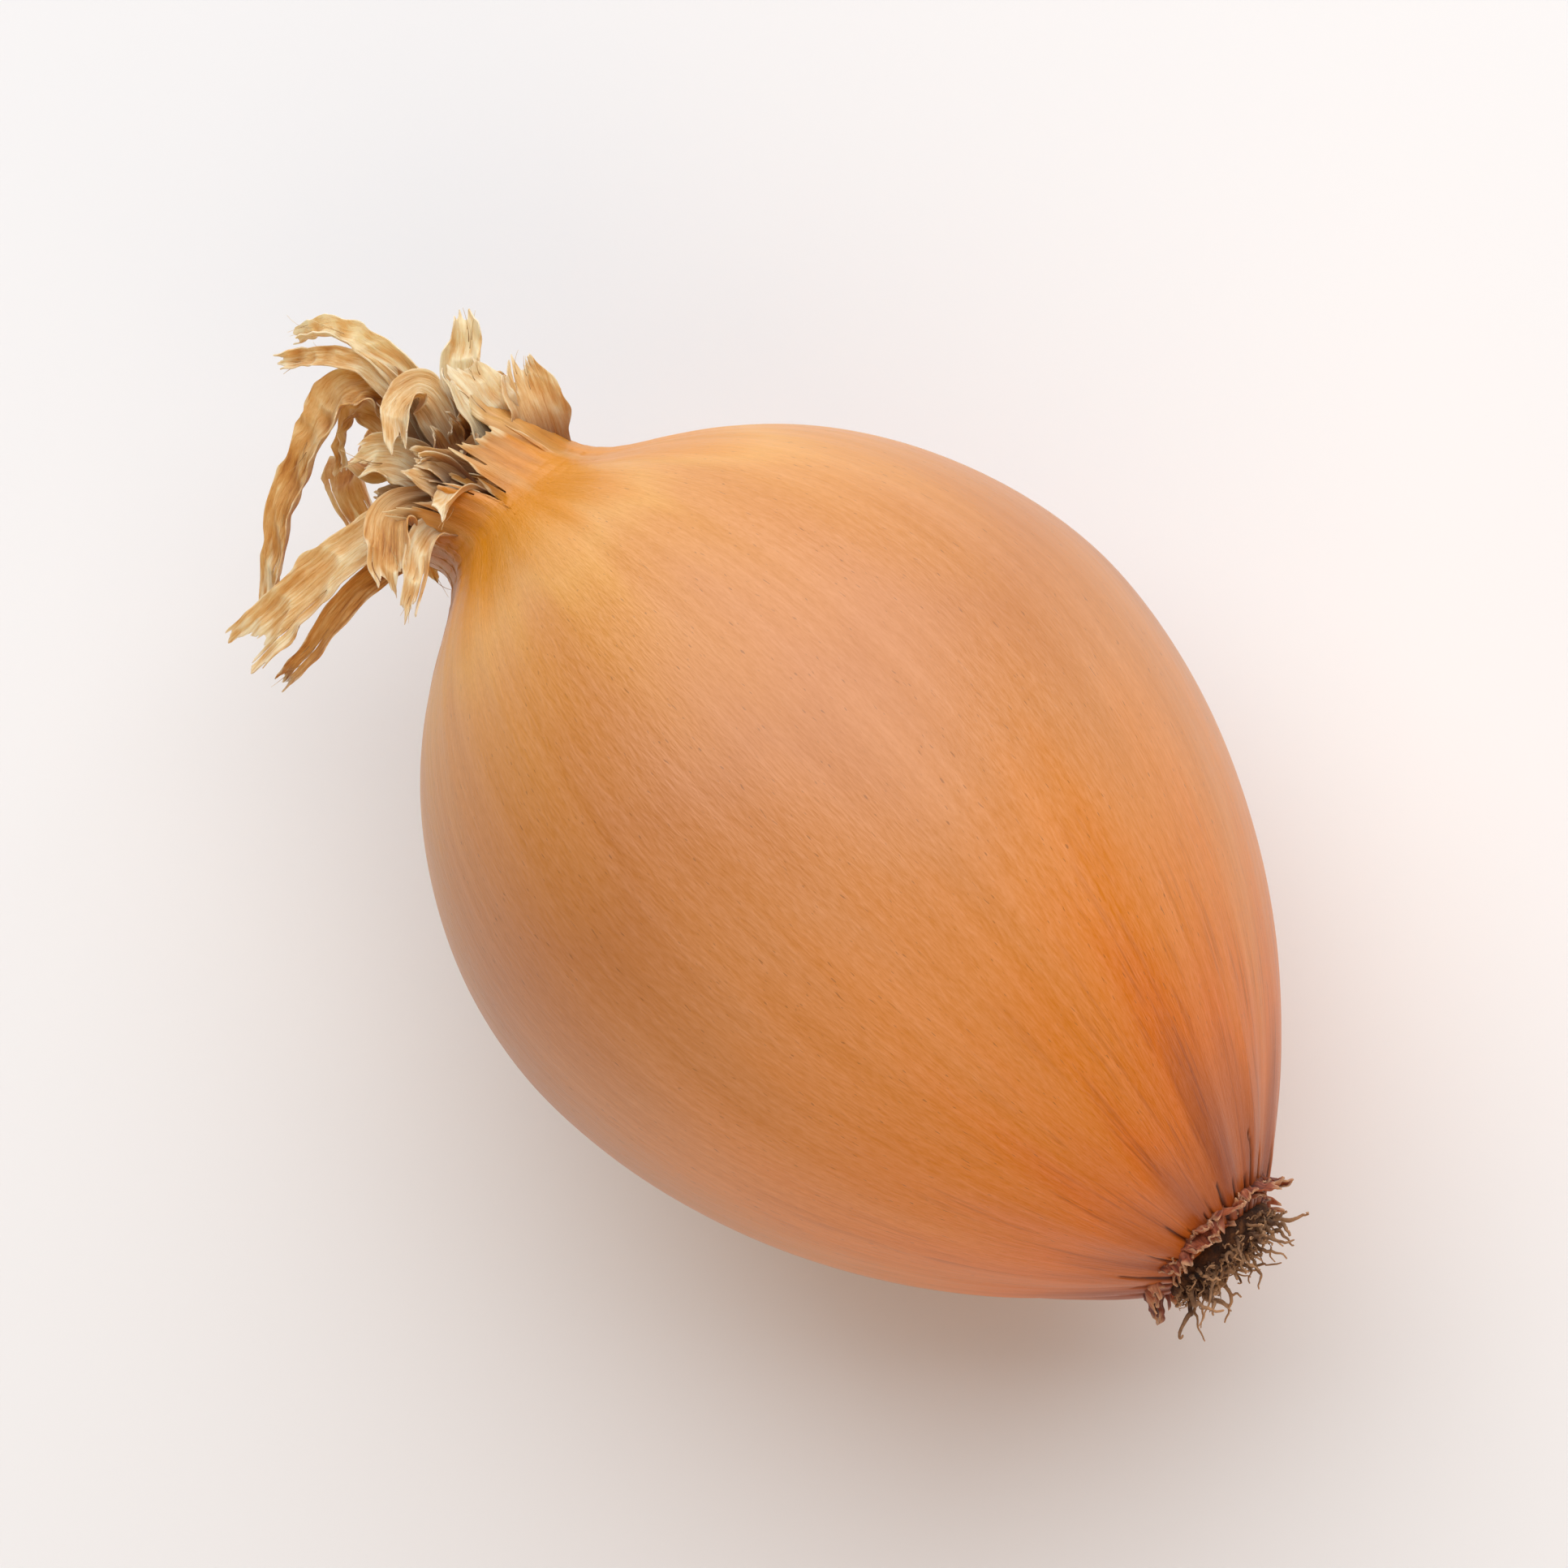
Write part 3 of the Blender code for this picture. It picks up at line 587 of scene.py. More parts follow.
def make_bulb_skin():
    """The whole skin as one closed surface: rings of the outline, spaced evenly along it, moved out by the
    relief. A point over the root plate and one in the neck close it."""
    distance = np.linspace(0.0, MERIDIAN_LENGTH[-1], SKIN_RINGS)
    heights = np.interp(distance, MERIDIAN_LENGTH, MERIDIAN_HEIGHT)
    turns = np.linspace(0.0, math.tau, SKIN_SIDES, endpoint=False)
    height, angle = np.meshgrid(heights, turns, indexing="ij")
    upright = around(skin_radius(angle, height), angle, height).reshape(-1, 3)
    root_pole, neck_pole = [0.0, 0.0, ROOT_RECESS], [0.0, 0.0, BULB_TOP]
    upright = np.concatenate([upright, [root_pole, neck_pole]])
    # The rings start at the root, so the faces are turned over to point outwards
    quads, fans = closed_faces(SKIN_RINGS, SKIN_SIDES)
    faces = quads[:, [0, 3, 2, 1]].tolist() + fans[:, [0, 2, 1]].tolist()
    poles = [root_pole, [0.0, 0.0, MERIDIAN_LENGTH[-1]]]
    # How far the fine relief sinks: the skin's material darkens these hollows as painted shade
    hollow = -fine_relief(angle, height) / WRINKLE_HEIGHT
    attributes = {
        "fibre": np.concatenate([fibre_place(angle, height).reshape(-1, 3), poles]),
        "height": upright[:, 2],
        "hollow": np.concatenate([hollow.ravel(), [1.0, 0.0]]),
        # The material paints the open splits nearly black, as painted shade inside them
        "slit": np.concatenate([rim_slits(angle, height)[0].ravel(), [0.0, 0.0]]),
    }
    return mesh_piece("bulb_skin", lay_down(upright), faces, attributes)


def torn_steps(position, seed):
    """Random heights from 0 to 1, one for each whole position: tissue that breaks off a bundle of fibres at
    a time leaves steps."""
    steps = np.random.default_rng(seed).uniform(0.0, 1.0, NOISE_PERIOD)
    return steps[np.floor(position).astype(int) % NOISE_PERIOD]


def tears(grid, seed, count, earliest):
    """Tears that run down along the fibres from the free end. They cut the sheet in panels: each panel
    narrows and lifts a little from where both its tears have begun. Gives which quads to keep, the panels'
    centres, how far the tears have opened and the lift."""
    rows, columns = grid
    draw = np.random.default_rng(seed)
    cuts = np.sort(draw.choice(np.arange(3, columns - 3), count, replace=False))
    begins = draw.uniform(earliest, 0.9, count)
    panel = np.searchsorted(cuts, np.arange(columns), side="right")
    edges = np.concatenate([[0], cuts, [columns]])
    centre = (edges[:-1] + edges[1:] - 1) / (columns - 1) - 1.0
    start = np.maximum(np.concatenate([[earliest], begins]), np.concatenate([begins, [earliest]]))
    along = np.linspace(0.0, 1.0, rows)[:, None]
    opened = np.maximum(along - start[panel][None, :], 0.0) / (1.0 - earliest)
    keep = np.ones((rows - 1, columns - 1), bool)
    for cut, begin in zip(cuts, begins):
        keep[along[:-1, 0] >= begin, cut - 1] = False
    lift = draw.uniform(-1.0, 1.0, count + 1)[panel][None, :] * opened
    return keep, centre[panel][None, :], opened, lift


def fibre_ribs(across, along, seed):
    """Ribs along a dried leaf, 0 to 1: ridged noise across it that changes slowly along it."""
    coarse = 1.0 - np.abs(value_noise(across / RIB_SPACINGS[0] + 31.0, along / RIB_LENGTHS[0], seed))
    fine = 1.0 - np.abs(value_noise(across / RIB_SPACINGS[1] + 17.0, along / RIB_LENGTHS[1], seed + 1))
    return 0.65 * coarse + 0.35 * fine


def crumpled(across, along, size, seed, shift=9.0):
    """Soft crumples, -1 to 1: noise with the width and length of size."""
    return value_noise(across / size[1] + shift, along / size[2], seed)


def creased(across, along, size, seed, shift=20.0):
    """Sharp creases, -1 to 1: ridged noise with the width and length of size."""
    return 1.0 - 2.0 * np.abs(value_noise(across / size[1] + shift, along / size[2], seed))


def leaf_sheet(name, path, widths, cup, facing, tone, slits):
    """A torn leaf. Its path is a smooth curve through the points. Across it, it is as wide as its three
    widths say, cupped by a parabola, twisted along its length, ribbed by its fibres and crumpled by noise.
    Bundles of fibres break off at their own lengths, so the free end is stepped, and tears run down from
    there."""
    draw = random.Random(name)
    seed = sum(map(ord, name))
    length = float(np.linalg.norm(np.diff(np.asarray(path, float), axis=0), axis=1).sum())
    along, across = sheet_grid(int(length / LEAF_GRID[0]) + 8, int(max(widths) / LEAF_GRID[1]) + 6)
    waves = draw.uniform(*TOOTH_WAVES) * across + draw.uniform(0.0, 3.0)
    teeth = min(LEAF_TEETH, TOOTH_LIMIT / length) * np.abs(np.sin(waves))
    bundle = across * max(widths) / 2.0 / BUNDLE
    broken = LEAF_BREAKS[0] * torn_steps(bundle + 0.3 * value_noise(bundle, 0.0, seed + 1) + 32, seed) ** 2
    broken += LEAF_BREAKS[1] * torn_steps(bundle * 4 + 200, seed + 2)
    broken += LEAF_BREAKS[2] * np.abs(value_noise(bundle, 0.0, seed + 3))
    broken *= 1.0 if slits else 0.5
    reach = along * (1.0 - (teeth + broken / length) * along)
    travel = reach * length
    keep, centre, opened, lift = tears(along.shape, seed, slits, LEAF_TEAR_START)
    place, forward = path_curve(path, reach)
    side = unit(np.cross(forward, np.asarray(facing, float)))
    up = np.cross(side, forward)
    twist = (draw.uniform(-LEAF_TWIST, LEAF_TWIST) * reach)[..., None]
    side, up = side * np.cos(twist) + up * np.sin(twist), up * np.cos(twist) - side * np.sin(twist)
    half_width = np.interp(reach, (0.0, 0.5, 1.0), widths) / 2.0
    wander = EDGE_WANDER * value_noise(travel / EDGE_WANDER_LENGTH, np.sign(across) * 3.0, seed + 4)
    spread = centre + (across - centre) * (1.0 - PANEL_NARROWING * opened)
    offset = spread * half_width * (1.0 + wander)
    ribs = fibre_ribs(offset, travel, seed + 5)
    crumples = crumpled(offset, travel, LEAF_CRUMPLES, seed + 7)
    creases = creased(offset + CREASE_SLANT * travel, travel, LEAF_CREASES, seed + 8)
    curl = EDGE_CURL * half_width * smoothstep(np.abs(across), 0.6, 1.0) * smoothstep(along, 0.1, 0.5)
    raised = cup * (across**2 - 0.5) + RIB_HEIGHT * (2.0 * ribs - 1.0) + curl + PANEL_LIFT * lift
    raised += LEAF_CRUMPLES[0] * crumples + LEAF_CREASES[0] * creases
    tip = smoothstep(along + 0.1 * value_noise(across * 9.0, travel, seed + 10), 0.86, 1.02)
    edge = np.abs(across) + 0.12 * value_noise(travel / 0.8, across * 2.0, seed + 11)
    attributes = {
        "weave": np.stack([offset, travel, np.full_like(along, seed % 17)], axis=-1),
        # The ribs and creases also set the tone: painted light on the ridges, painted shade between them
        "rib": ribs + 0.5 * creases - 0.1,
        "rim": np.maximum(tip, 0.7 * smoothstep(edge, 0.85, 1.1)),
        # Painted shade down in the neck, where the leaf starts
        "sunken_shade": 1.0 - smoothstep(travel, *SHADE_TRAVEL),
        "tone": np.full_like(along, tone),
    }
    return place + side * offset[..., None] + up * raised[..., None], keep, attributes


def shred_sheet(index):
    """A broken bit of leaf. It stands in the torn neck at a golden-angle place, leans outward at random and
    bends on over three steps."""
    draw = random.Random(900 + index)
    angle = index * GOLDEN_ANGLE
    out = np.array([math.cos(angle), math.sin(angle), 0.0])
    foot = out * draw.uniform(*SHRED_FOOT_RADIUS) + (0.0, -0.6, draw.uniform(*SHRED_FOOT_HEIGHT))
    heading = unit(out * draw.uniform(0.2, 1.0) + (draw.uniform(-0.4, 0.4), draw.uniform(-0.7, 0.3), 1.2))
    length = draw.uniform(*SHRED_LENGTH)
    bend = out * draw.uniform(0.0, 0.9) + (0.0, -0.5, -0.3)
    path = [foot + (0.0, -float(neck_lean(foot[2])), 0.0)]
    for _ in range(3):
        path.append(path[-1] + heading * length / 3.0)
        heading = unit(heading + 0.45 * bend)
    width = draw.uniform(*SHRED_WIDTH)
    widths = (width, width * draw.uniform(0.9, 1.2), width * draw.uniform(0.3, 1.0))
    cup, tone = draw.uniform(0.2, 0.8), draw.uniform(*SHRED_TONE)
    return leaf_sheet("shred" + str(index), path, widths, cup, out, tone, 1)


def loose_radius(angle, height, lip):
    """Radius of skin that bridges the corner between shoulder and neck: the mean, weighted to a triangle, of
    the bulb's radius, or of the lip's above the bulb, at seven heights."""
    total = 0.0
    for step in range(-3, 4):
        near = height + COLLAR_BRIDGE * step
        on_bulb = skin_radius(angle, np.minimum(near, BULB_TOP))
        total += (4 - abs(step)) / 16.0 * np.where(near < BULB_TOP, on_bulb, lip)
    return total


def collar_sheet(middle, half_width, top, flare, layer):
    """A wide torn sheet of the collar. Its foot lies just under the bulb's skin, in which it starts. It
    bridges the corner to the neck, flares with the square of its rise, and leans with the neck. Its top edge
    has the CAD sheet's teeth and broken bundles of fibres, and tears run down from it."""
    seed = 300 + middle + 7 * layer
    along, across = sheet_grid(COLLAR_ROWS, int(half_width * 2.0))
    bundle = across * half_width / COLLAR_BUNDLE + 0.3 * value_noise(across * 9.0, 0.0, seed) + 32
    ragged = COLLAR_TEETH * np.abs(np.sin(2.6 * across + 0.05 * middle)) + COLLAR_CROWN * across**2
    ragged += COLLAR_BREAKS[0] * torn_steps(bundle, seed) ** 2
    ragged += COLLAR_BREAKS[1] * torn_steps(across * 17 + 64, seed)
    ragged += COLLAR_BREAKS[2] * np.abs(value_noise(across * half_width / 4.0, 0.0, seed + 1))
    root = COLLAR_ROOT + (INNER_LAYER_RISE if layer else 1.2 * value_noise(across * 4.0, 0.0, seed + 2))
    height = root + (top - ragged - root) * along
    keep, centre, opened, lift = tears(along.shape, seed, COLLAR_TEARS, COLLAR_TEAR_START)
    rise = np.clip((height - BULB_TOP) / (top - BULB_TOP), 0.0, 1.0)
    spread = centre + (across - centre) * (1.0 - 0.25 * opened)
    angle = np.radians(middle + spread * half_width * (1.0 - COLLAR_TAPER * rise))
    lip = COLLAR_FOOT_RADIUS + COLLAR_SPREAD - INNER_LIP_DROP * layer
    radius = loose_radius(angle, height, lip) - INNER_LAYER_DROP * layer
    radius += 0.25 * smoothstep(height, root, root + 4.0) - 0.12 + flare * rise**2 + 1.2 * lift
    arc = across * math.radians(half_width) * NECK_RADIUS
    ribs = fibre_ribs(arc, height, seed + 4)
    crumples = crumpled(arc, height, COLLAR_CRUMPLES, seed + 6)
    creases = creased(arc, height, COLLAR_CREASES, seed + 7)
    relief = RIB_HEIGHT * (2.0 * ribs - 1.0) + COLLAR_CRUMPLES[0] * crumples + COLLAR_CREASES[0] * creases
    radius += rise * relief
    points = around(radius, angle, height)
    points[..., 1] -= neck_lean(height)
    tip = smoothstep(along + 0.06 * value_noise(across * 9.0, along * 5.0, seed + 8), 0.9, 1.0)
    sides = smoothstep(np.abs(across), 0.93, 1.0) * smoothstep(rise, 0.05, 0.3)
    attributes = {
        "fibre": fibre_place(angle, height),
        "height": height,
        # Painted shade: the material darkens the hollows of the crumples
        "hollow": -0.3 * crumples * rise,
        # Painted shade: the material darkens the gaps between the ribs and the creases, from the bulb's top
        # up
        "gap": (1.2 - ribs - 0.4 * creases) * smoothstep(height, BULB_TOP - 2.0, BULB_TOP + 3.0),
        "rim": np.maximum(tip, 0.5 * sides),
    }
    return points, keep, attributes


def core_radius(height):
    """The neck's core narrows evenly from the bulb's neck to its torn top."""
    foot = BULB_TOP + FIT_GAP
    return np.interp(height, (foot, CORE_TOP), (float(bulb_radius(np.array(foot))), CORE_TOP_RADIUS))


COLLAR_FOOT_RADIUS = float(core_radius(COLLAR_FOOT)) - COLLAR_SUNK


def core_scroll():
    """What is left of the inner leaves: one papery sheet rolled up inside the collar. Its radius falls
    evenly with the turn, it is squashed flat by a quarter, and its top edge is torn."""
    rise, turn = np.meshgrid(*(np.linspace(0, 1, count) for count in SCROLL_GRID), indexing="ij")
    ragged = sum(depth * (1.0 + value_noise(turn * count, 0.0, seed, period))
                 for depth, count, seed, period in SCROLL_TEARS)
    top = CORE_TOP + 2.2 + 1.6 * value_noise(turn * 7, 0.0, 73) - ragged
    height = BULB_TOP - 0.8 + (top - BULB_TOP) * rise
    angle = 1.0 + turn * SCROLL_TURNS * math.tau
    arc = turn * SCROLL_TURNS * math.tau * SCROLL_ARC_RADIUS
    ribs = fibre_ribs(arc, height, 74)
    radius = SCROLL_OUTER - (SCROLL_OUTER - SCROLL_INNER) * turn + RIB_HEIGHT * (2 * ribs - 1)
    radius += 0.35 * value_noise(turn * 30, height / 2.5, 75) * rise
    radius *= 1.0 - 0.2 * rise
    points = around(radius, angle, height)
    points[..., 0] *= SCROLL_FLATNESS
    points[..., 1] -= neck_lean(height)
    attributes = {
        "weave": np.stack([arc, height, np.full_like(arc, 5.0)], axis=-1),
        # The ribs also set the tone: painted light on them, painted shade between them
        "rib": ribs,
        "rim": smoothstep(rise, 0.9, 1.0) * 0.7,
        # Painted shade low inside the collar
        "sunken_shade": 1.0 - smoothstep(height, 75.0, 83.5),
        "tone": 0.3 + 0.2 * value_noise(turn * 6, 0.0, 76),
    }
    return points, None, attributes


def curl_sheet(index):
    """A torn curl of skin: it leaves the pleated root end, stands up and rolls outward on an arc, crinkled,
    its end torn in steps. The first ones have the CAD curls' own draws; the scraps after them are smaller,
    stand closer in and lean to either side."""
    draw = random.Random(100 + index)
    small = index >= CURLS
    angle = draw.uniform(0.0, math.tau) if small else index * math.tau / CURLS + draw.uniform(-0.12, 0.12)
    length = draw.uniform(*(SCRAP_LENGTH if small else CURL_LENGTH))
    breadth = draw.uniform(*(SCRAP_WIDTH if small else CURL_WIDTH))
    roll = draw.uniform(*(SCRAP_ROLL if small else CURL_ROLL))
    foot_radius = draw.uniform(*SCRAP_RADIUS) if small else CURL_RADIUS
    sway = draw.uniform(*(SCRAP_SWAY if small else CURL_SWAY))
    along, across = sheet_grid(int(length / CURL_GRID[0]) + 6, int(breadth * 2 / CURL_GRID[1]) + 6)
    offset = across * breadth
    broken = torn_steps(offset / 0.45 + 32, 800 + index) ** 2 * 0.5
    torn = (1.0 - CURL_TEETH * np.abs(np.sin(2.3 * across + index))) * (1.0 - broken * along)
    travel = along * torn * length
    bend = roll * along * torn
    ribs = fibre_ribs(offset, travel, 820 + index)
    crumples = crumpled(offset, travel, CURL_CRUMPLES, 840 + index, 5.0)
    creases = creased(offset, travel, CURL_CREASES, 860 + index, 9.0)
    raised = (CURL_CRUMPLES[0] * crumples + CURL_CREASES[0] * creases) * smoothstep(along, 0.0, 0.3)
    raised += 0.05 * (2 * ribs - 1)
    outward = foot_radius + length * (1.0 - np.cos(bend)) / roll + raised * np.cos(bend)
    height = CURL_FOOT - length * np.sin(bend) / roll + raised * np.sin(bend)
    turn = angle + (offset * (1.0 - CURL_TAPER * along) + sway * along**2) / outward
    attributes = {
        "weave": np.stack([offset, travel, np.full_like(along, index)], axis=-1),
        # The ribs and creases also set the tone: painted light on the ridges, painted shade between them
        "rib": ribs + 0.6 * creases - 0.1,
        "rim": smoothstep(along, 0.75, 1.0),
        # Painted shade at the curl's foot, down by the root plate
        "sunken_shade": 1.0 - smoothstep(along, 0.0, 0.5),
        "tone": np.full_like(along, draw.uniform(0.25, 0.75)),
    }
    return around(outward, turn, height), None, attributes


def make_root_plate():
    """The root plate: the CAD dome in rings, its radius and depth moved by noise, for it is a mat of root
    stubs."""
    rings, sides = PLATE_GRID
    share = np.linspace(0.0, 1.0, rings)[1:, None]
    angle = np.linspace(0.0, math.tau, sides, endpoint=False)[None, :]
    x, y = share * np.cos(angle), share * np.sin(angle)
    bumps = 0.6 * value_noise(x * 7 + 20, y * 7 + 20, 21) + 0.4 * value_noise(x * 16 + 40, y * 16 + 40, 22)
    depth = FIT_GAP + PLATE_DOME * np.sqrt(np.maximum(1.0 - share**2, 0.0))
    depth = depth + PLATE_BUMP * bumps * (1.0 - share**6)
    reach = PLATE_RADIUS + 0.25 * value_noise(angle * 30 / math.tau, 0.0, 23, 30) * share
    upright = np.stack([x * reach, y * reach, -depth], axis=-1).reshape(-1, 3)
    rim = upright[-sides:] * (0.9, 0.9, 0.0) + (0.0, 0.0, PLATE_BACK)
    poles = [[0.0, 0.0, -FIT_GAP - PLATE_DOME], [0.0, 0.0, PLATE_BACK]]
    quads, fans = closed_faces(rings, sides)
    points = lay_down(np.concatenate([upright, rim, poles]))
    return mesh_piece("root_plate", points, quads.tolist() + fans.tolist(), {})


def rootlet_path(index):
    """A rootlet starts at its golden-angle place on the plate and wanders, inside the cone of room there.
    The CAD tuft's own have its draws; the short ones among them start closer to the rim and curl more."""
    draw = random.Random(500 + index)
    own = index < CAD_ROOTLETS
    order, count = (index, CAD_ROOTLETS) if own else (index - CAD_ROOTLETS, ROOTLETS - CAD_ROOTLETS)
    share = math.sqrt((order + 0.5) / count)
    angle = index * GOLDEN_ANGLE
    radial = np.array([math.cos(angle), math.sin(angle), 0.0])
    heading = unit(radial * (0.2 + 1.3 * share) + np.array([0.0, 0.0, -1.0]))
    length = draw.uniform(*(ROOTLET_LENGTH if own else SHORT_ROOTLET_LENGTH)) * (0.6 + 0.4 * share)
    wander = np.array([draw.uniform(-1, 1), draw.uniform(-1, 1), draw.uniform(-0.7, 0.5)])
    rim, depth = PLATE_RIM, 2.0 * CAD_ROOTLET_RADIUS
    if not own:
        wander *= SHORT_ROOTLET_WANDER
        rim, depth = SHORT_ROOTLET_RIM, SHORT_ROOTLET_DEPTH * math.sqrt(1.01 - share**2)
    point = radial * (share * (PLATE_RADIUS - rim))
    point[2] = -FIT_GAP - depth
    points = [point]
    for _ in range(ROOTLET_POINTS - 1):
        point = point + heading * (length / (ROOTLET_POINTS - 1))
        heading = unit(heading + ROOTLET_WANDER * wander)
        room = PLATE_RADIUS - ROOM_RIM - ROOTLET_SPREAD * point[2]
        squeeze = min(1.0, room / math.hypot(*point[:2]))
        point = point * (squeeze, squeeze, 1.0)
        points.append(point)
    return points


def make_rootlets():
    """Every rootlet is a tube on a smooth curve through its points, kinked and knotty as it dried, thick at
    the plate and thin at its end."""
    along = np.linspace(0.0, 1.0, ROOTLET_RINGS)
    paths = np.stack([path_curve(rootlet_path(index), along)[0] for index in range(ROOTLETS)])
    draw = np.random.default_rng(31)
    shift = draw.uniform(0, 60, (3, ROOTLETS, 1))
    kinks = value_noise(along * 4 + shift, shift, 32) + 0.6 * value_noise(along * 10 + shift, shift, 33)
    loose = smoothstep(along, 0.0, 0.3)[None, :, None]
    paths = paths + ROOTLET_KINK * np.moveaxis(kinks, 0, -1) * loose
    thick = draw.uniform(*THIN_ROOTLET_RADIUS, (ROOTLETS, 1))
    thick[:CAD_ROOTLETS] = draw.uniform(*ROOTLET_RADIUS, (CAD_ROOTLETS, 1))
    knots = 1.0 + ROOTLET_KNOT * value_noise(along * 13, thick * 90, 37)
    radii = thick * (1.0 - ROOTLET_TAPER * along**1.5) * knots
    return tube_piece("rootlets", paths, radii, 6, draw.uniform(0, 1, ROOTLETS))


def make_frays():
    """Single fibres that stand out of the torn ends of the long leaves: thin tubes that start in the leaf's
    tip and curl away on an arc."""
    along = np.linspace(0.0, 1.0, 9)
    draw = np.random.default_rng(41)
    paths, radii = [], []
    for path, widths, _, facing, _, _ in LEAVES.values():
        place, forward = path_curve(path, draw.uniform(0.55, 0.86, FRAYS))
        side = unit(np.cross(forward, np.asarray(facing, float)))
        start = place + side * draw.uniform(-0.4, 0.4, (FRAYS, 1)) * widths[2]
        length = draw.uniform(*FRAY_LENGTH, (FRAYS, 1, 1))
        bend = side * draw.uniform(-0.9, 0.9, (FRAYS, 1)) + draw.uniform(-0.4, 0.4, (FRAYS, 3))
        reach = along[None, :, None]
        arc = forward[:, None] * reach + 0.5 * bend[:, None] * reach**2
        paths.append(start[:, None] + length * arc)
        radii.append(draw.uniform(*FRAY_RADIUS, (FRAYS, 1)) * (1.0 - 0.6 * along)[None, :])
    paths, radii = np.concatenate(paths), np.concatenate(radii)
    return tube_piece("neck_frays", paths, radii, 4, draw.uniform(0, 1, len(paths)))


def linear(code):
    """An sRGB hex colour as linear red, green, blue and alpha."""
    channels = [int(code[place : place + 2], 16) / 255.0 for place in (1, 3, 5)]
    return [c / 12.92 if c <= 0.04045 else ((c + 0.055) / 1.055) ** 2.4 for c in channels] + [1.0]


def add(tree, kind, sockets=None, stops=None, output=0, **settings):
    """Adds a shader node and gives one of its outputs. A socket is given a value or another node's output;
    stops are a ramp's colours."""
    made = tree.nodes.new("ShaderNode" + kind)
    for name, value in settings.items():
        setattr(made, name, value)
    for name, value in (sockets or {}).items():
        if isinstance(value, bpy.types.NodeSocket):
            tree.links.new(value, made.inputs[name])
        else:
            made.inputs[name].default_value = value
    if stops:
        elements = made.color_ramp.elements
        while len(elements) < len(stops):
            elements.new(0.5)
        for element, (position, code) in zip(elements, stops):
            element.position = position
            element.color = linear(code)
    return made.outputs[output]


def new_material(name, roughness, sheen=0.0):
    """A material with its Principled shader, whose even values are set on the shader itself."""
    material = bpy.data.materials.new(name)
    material.use_nodes = True
    shader = material.node_tree.nodes["Principled BSDF"]
    shader.inputs["Roughness"].default_value = roughness
    shader.inputs["IOR"].default_value = CELLULOSE_IOR
    shader.inputs["Sheen Weight"].default_value = sheen
    return material, material.node_tree, shader


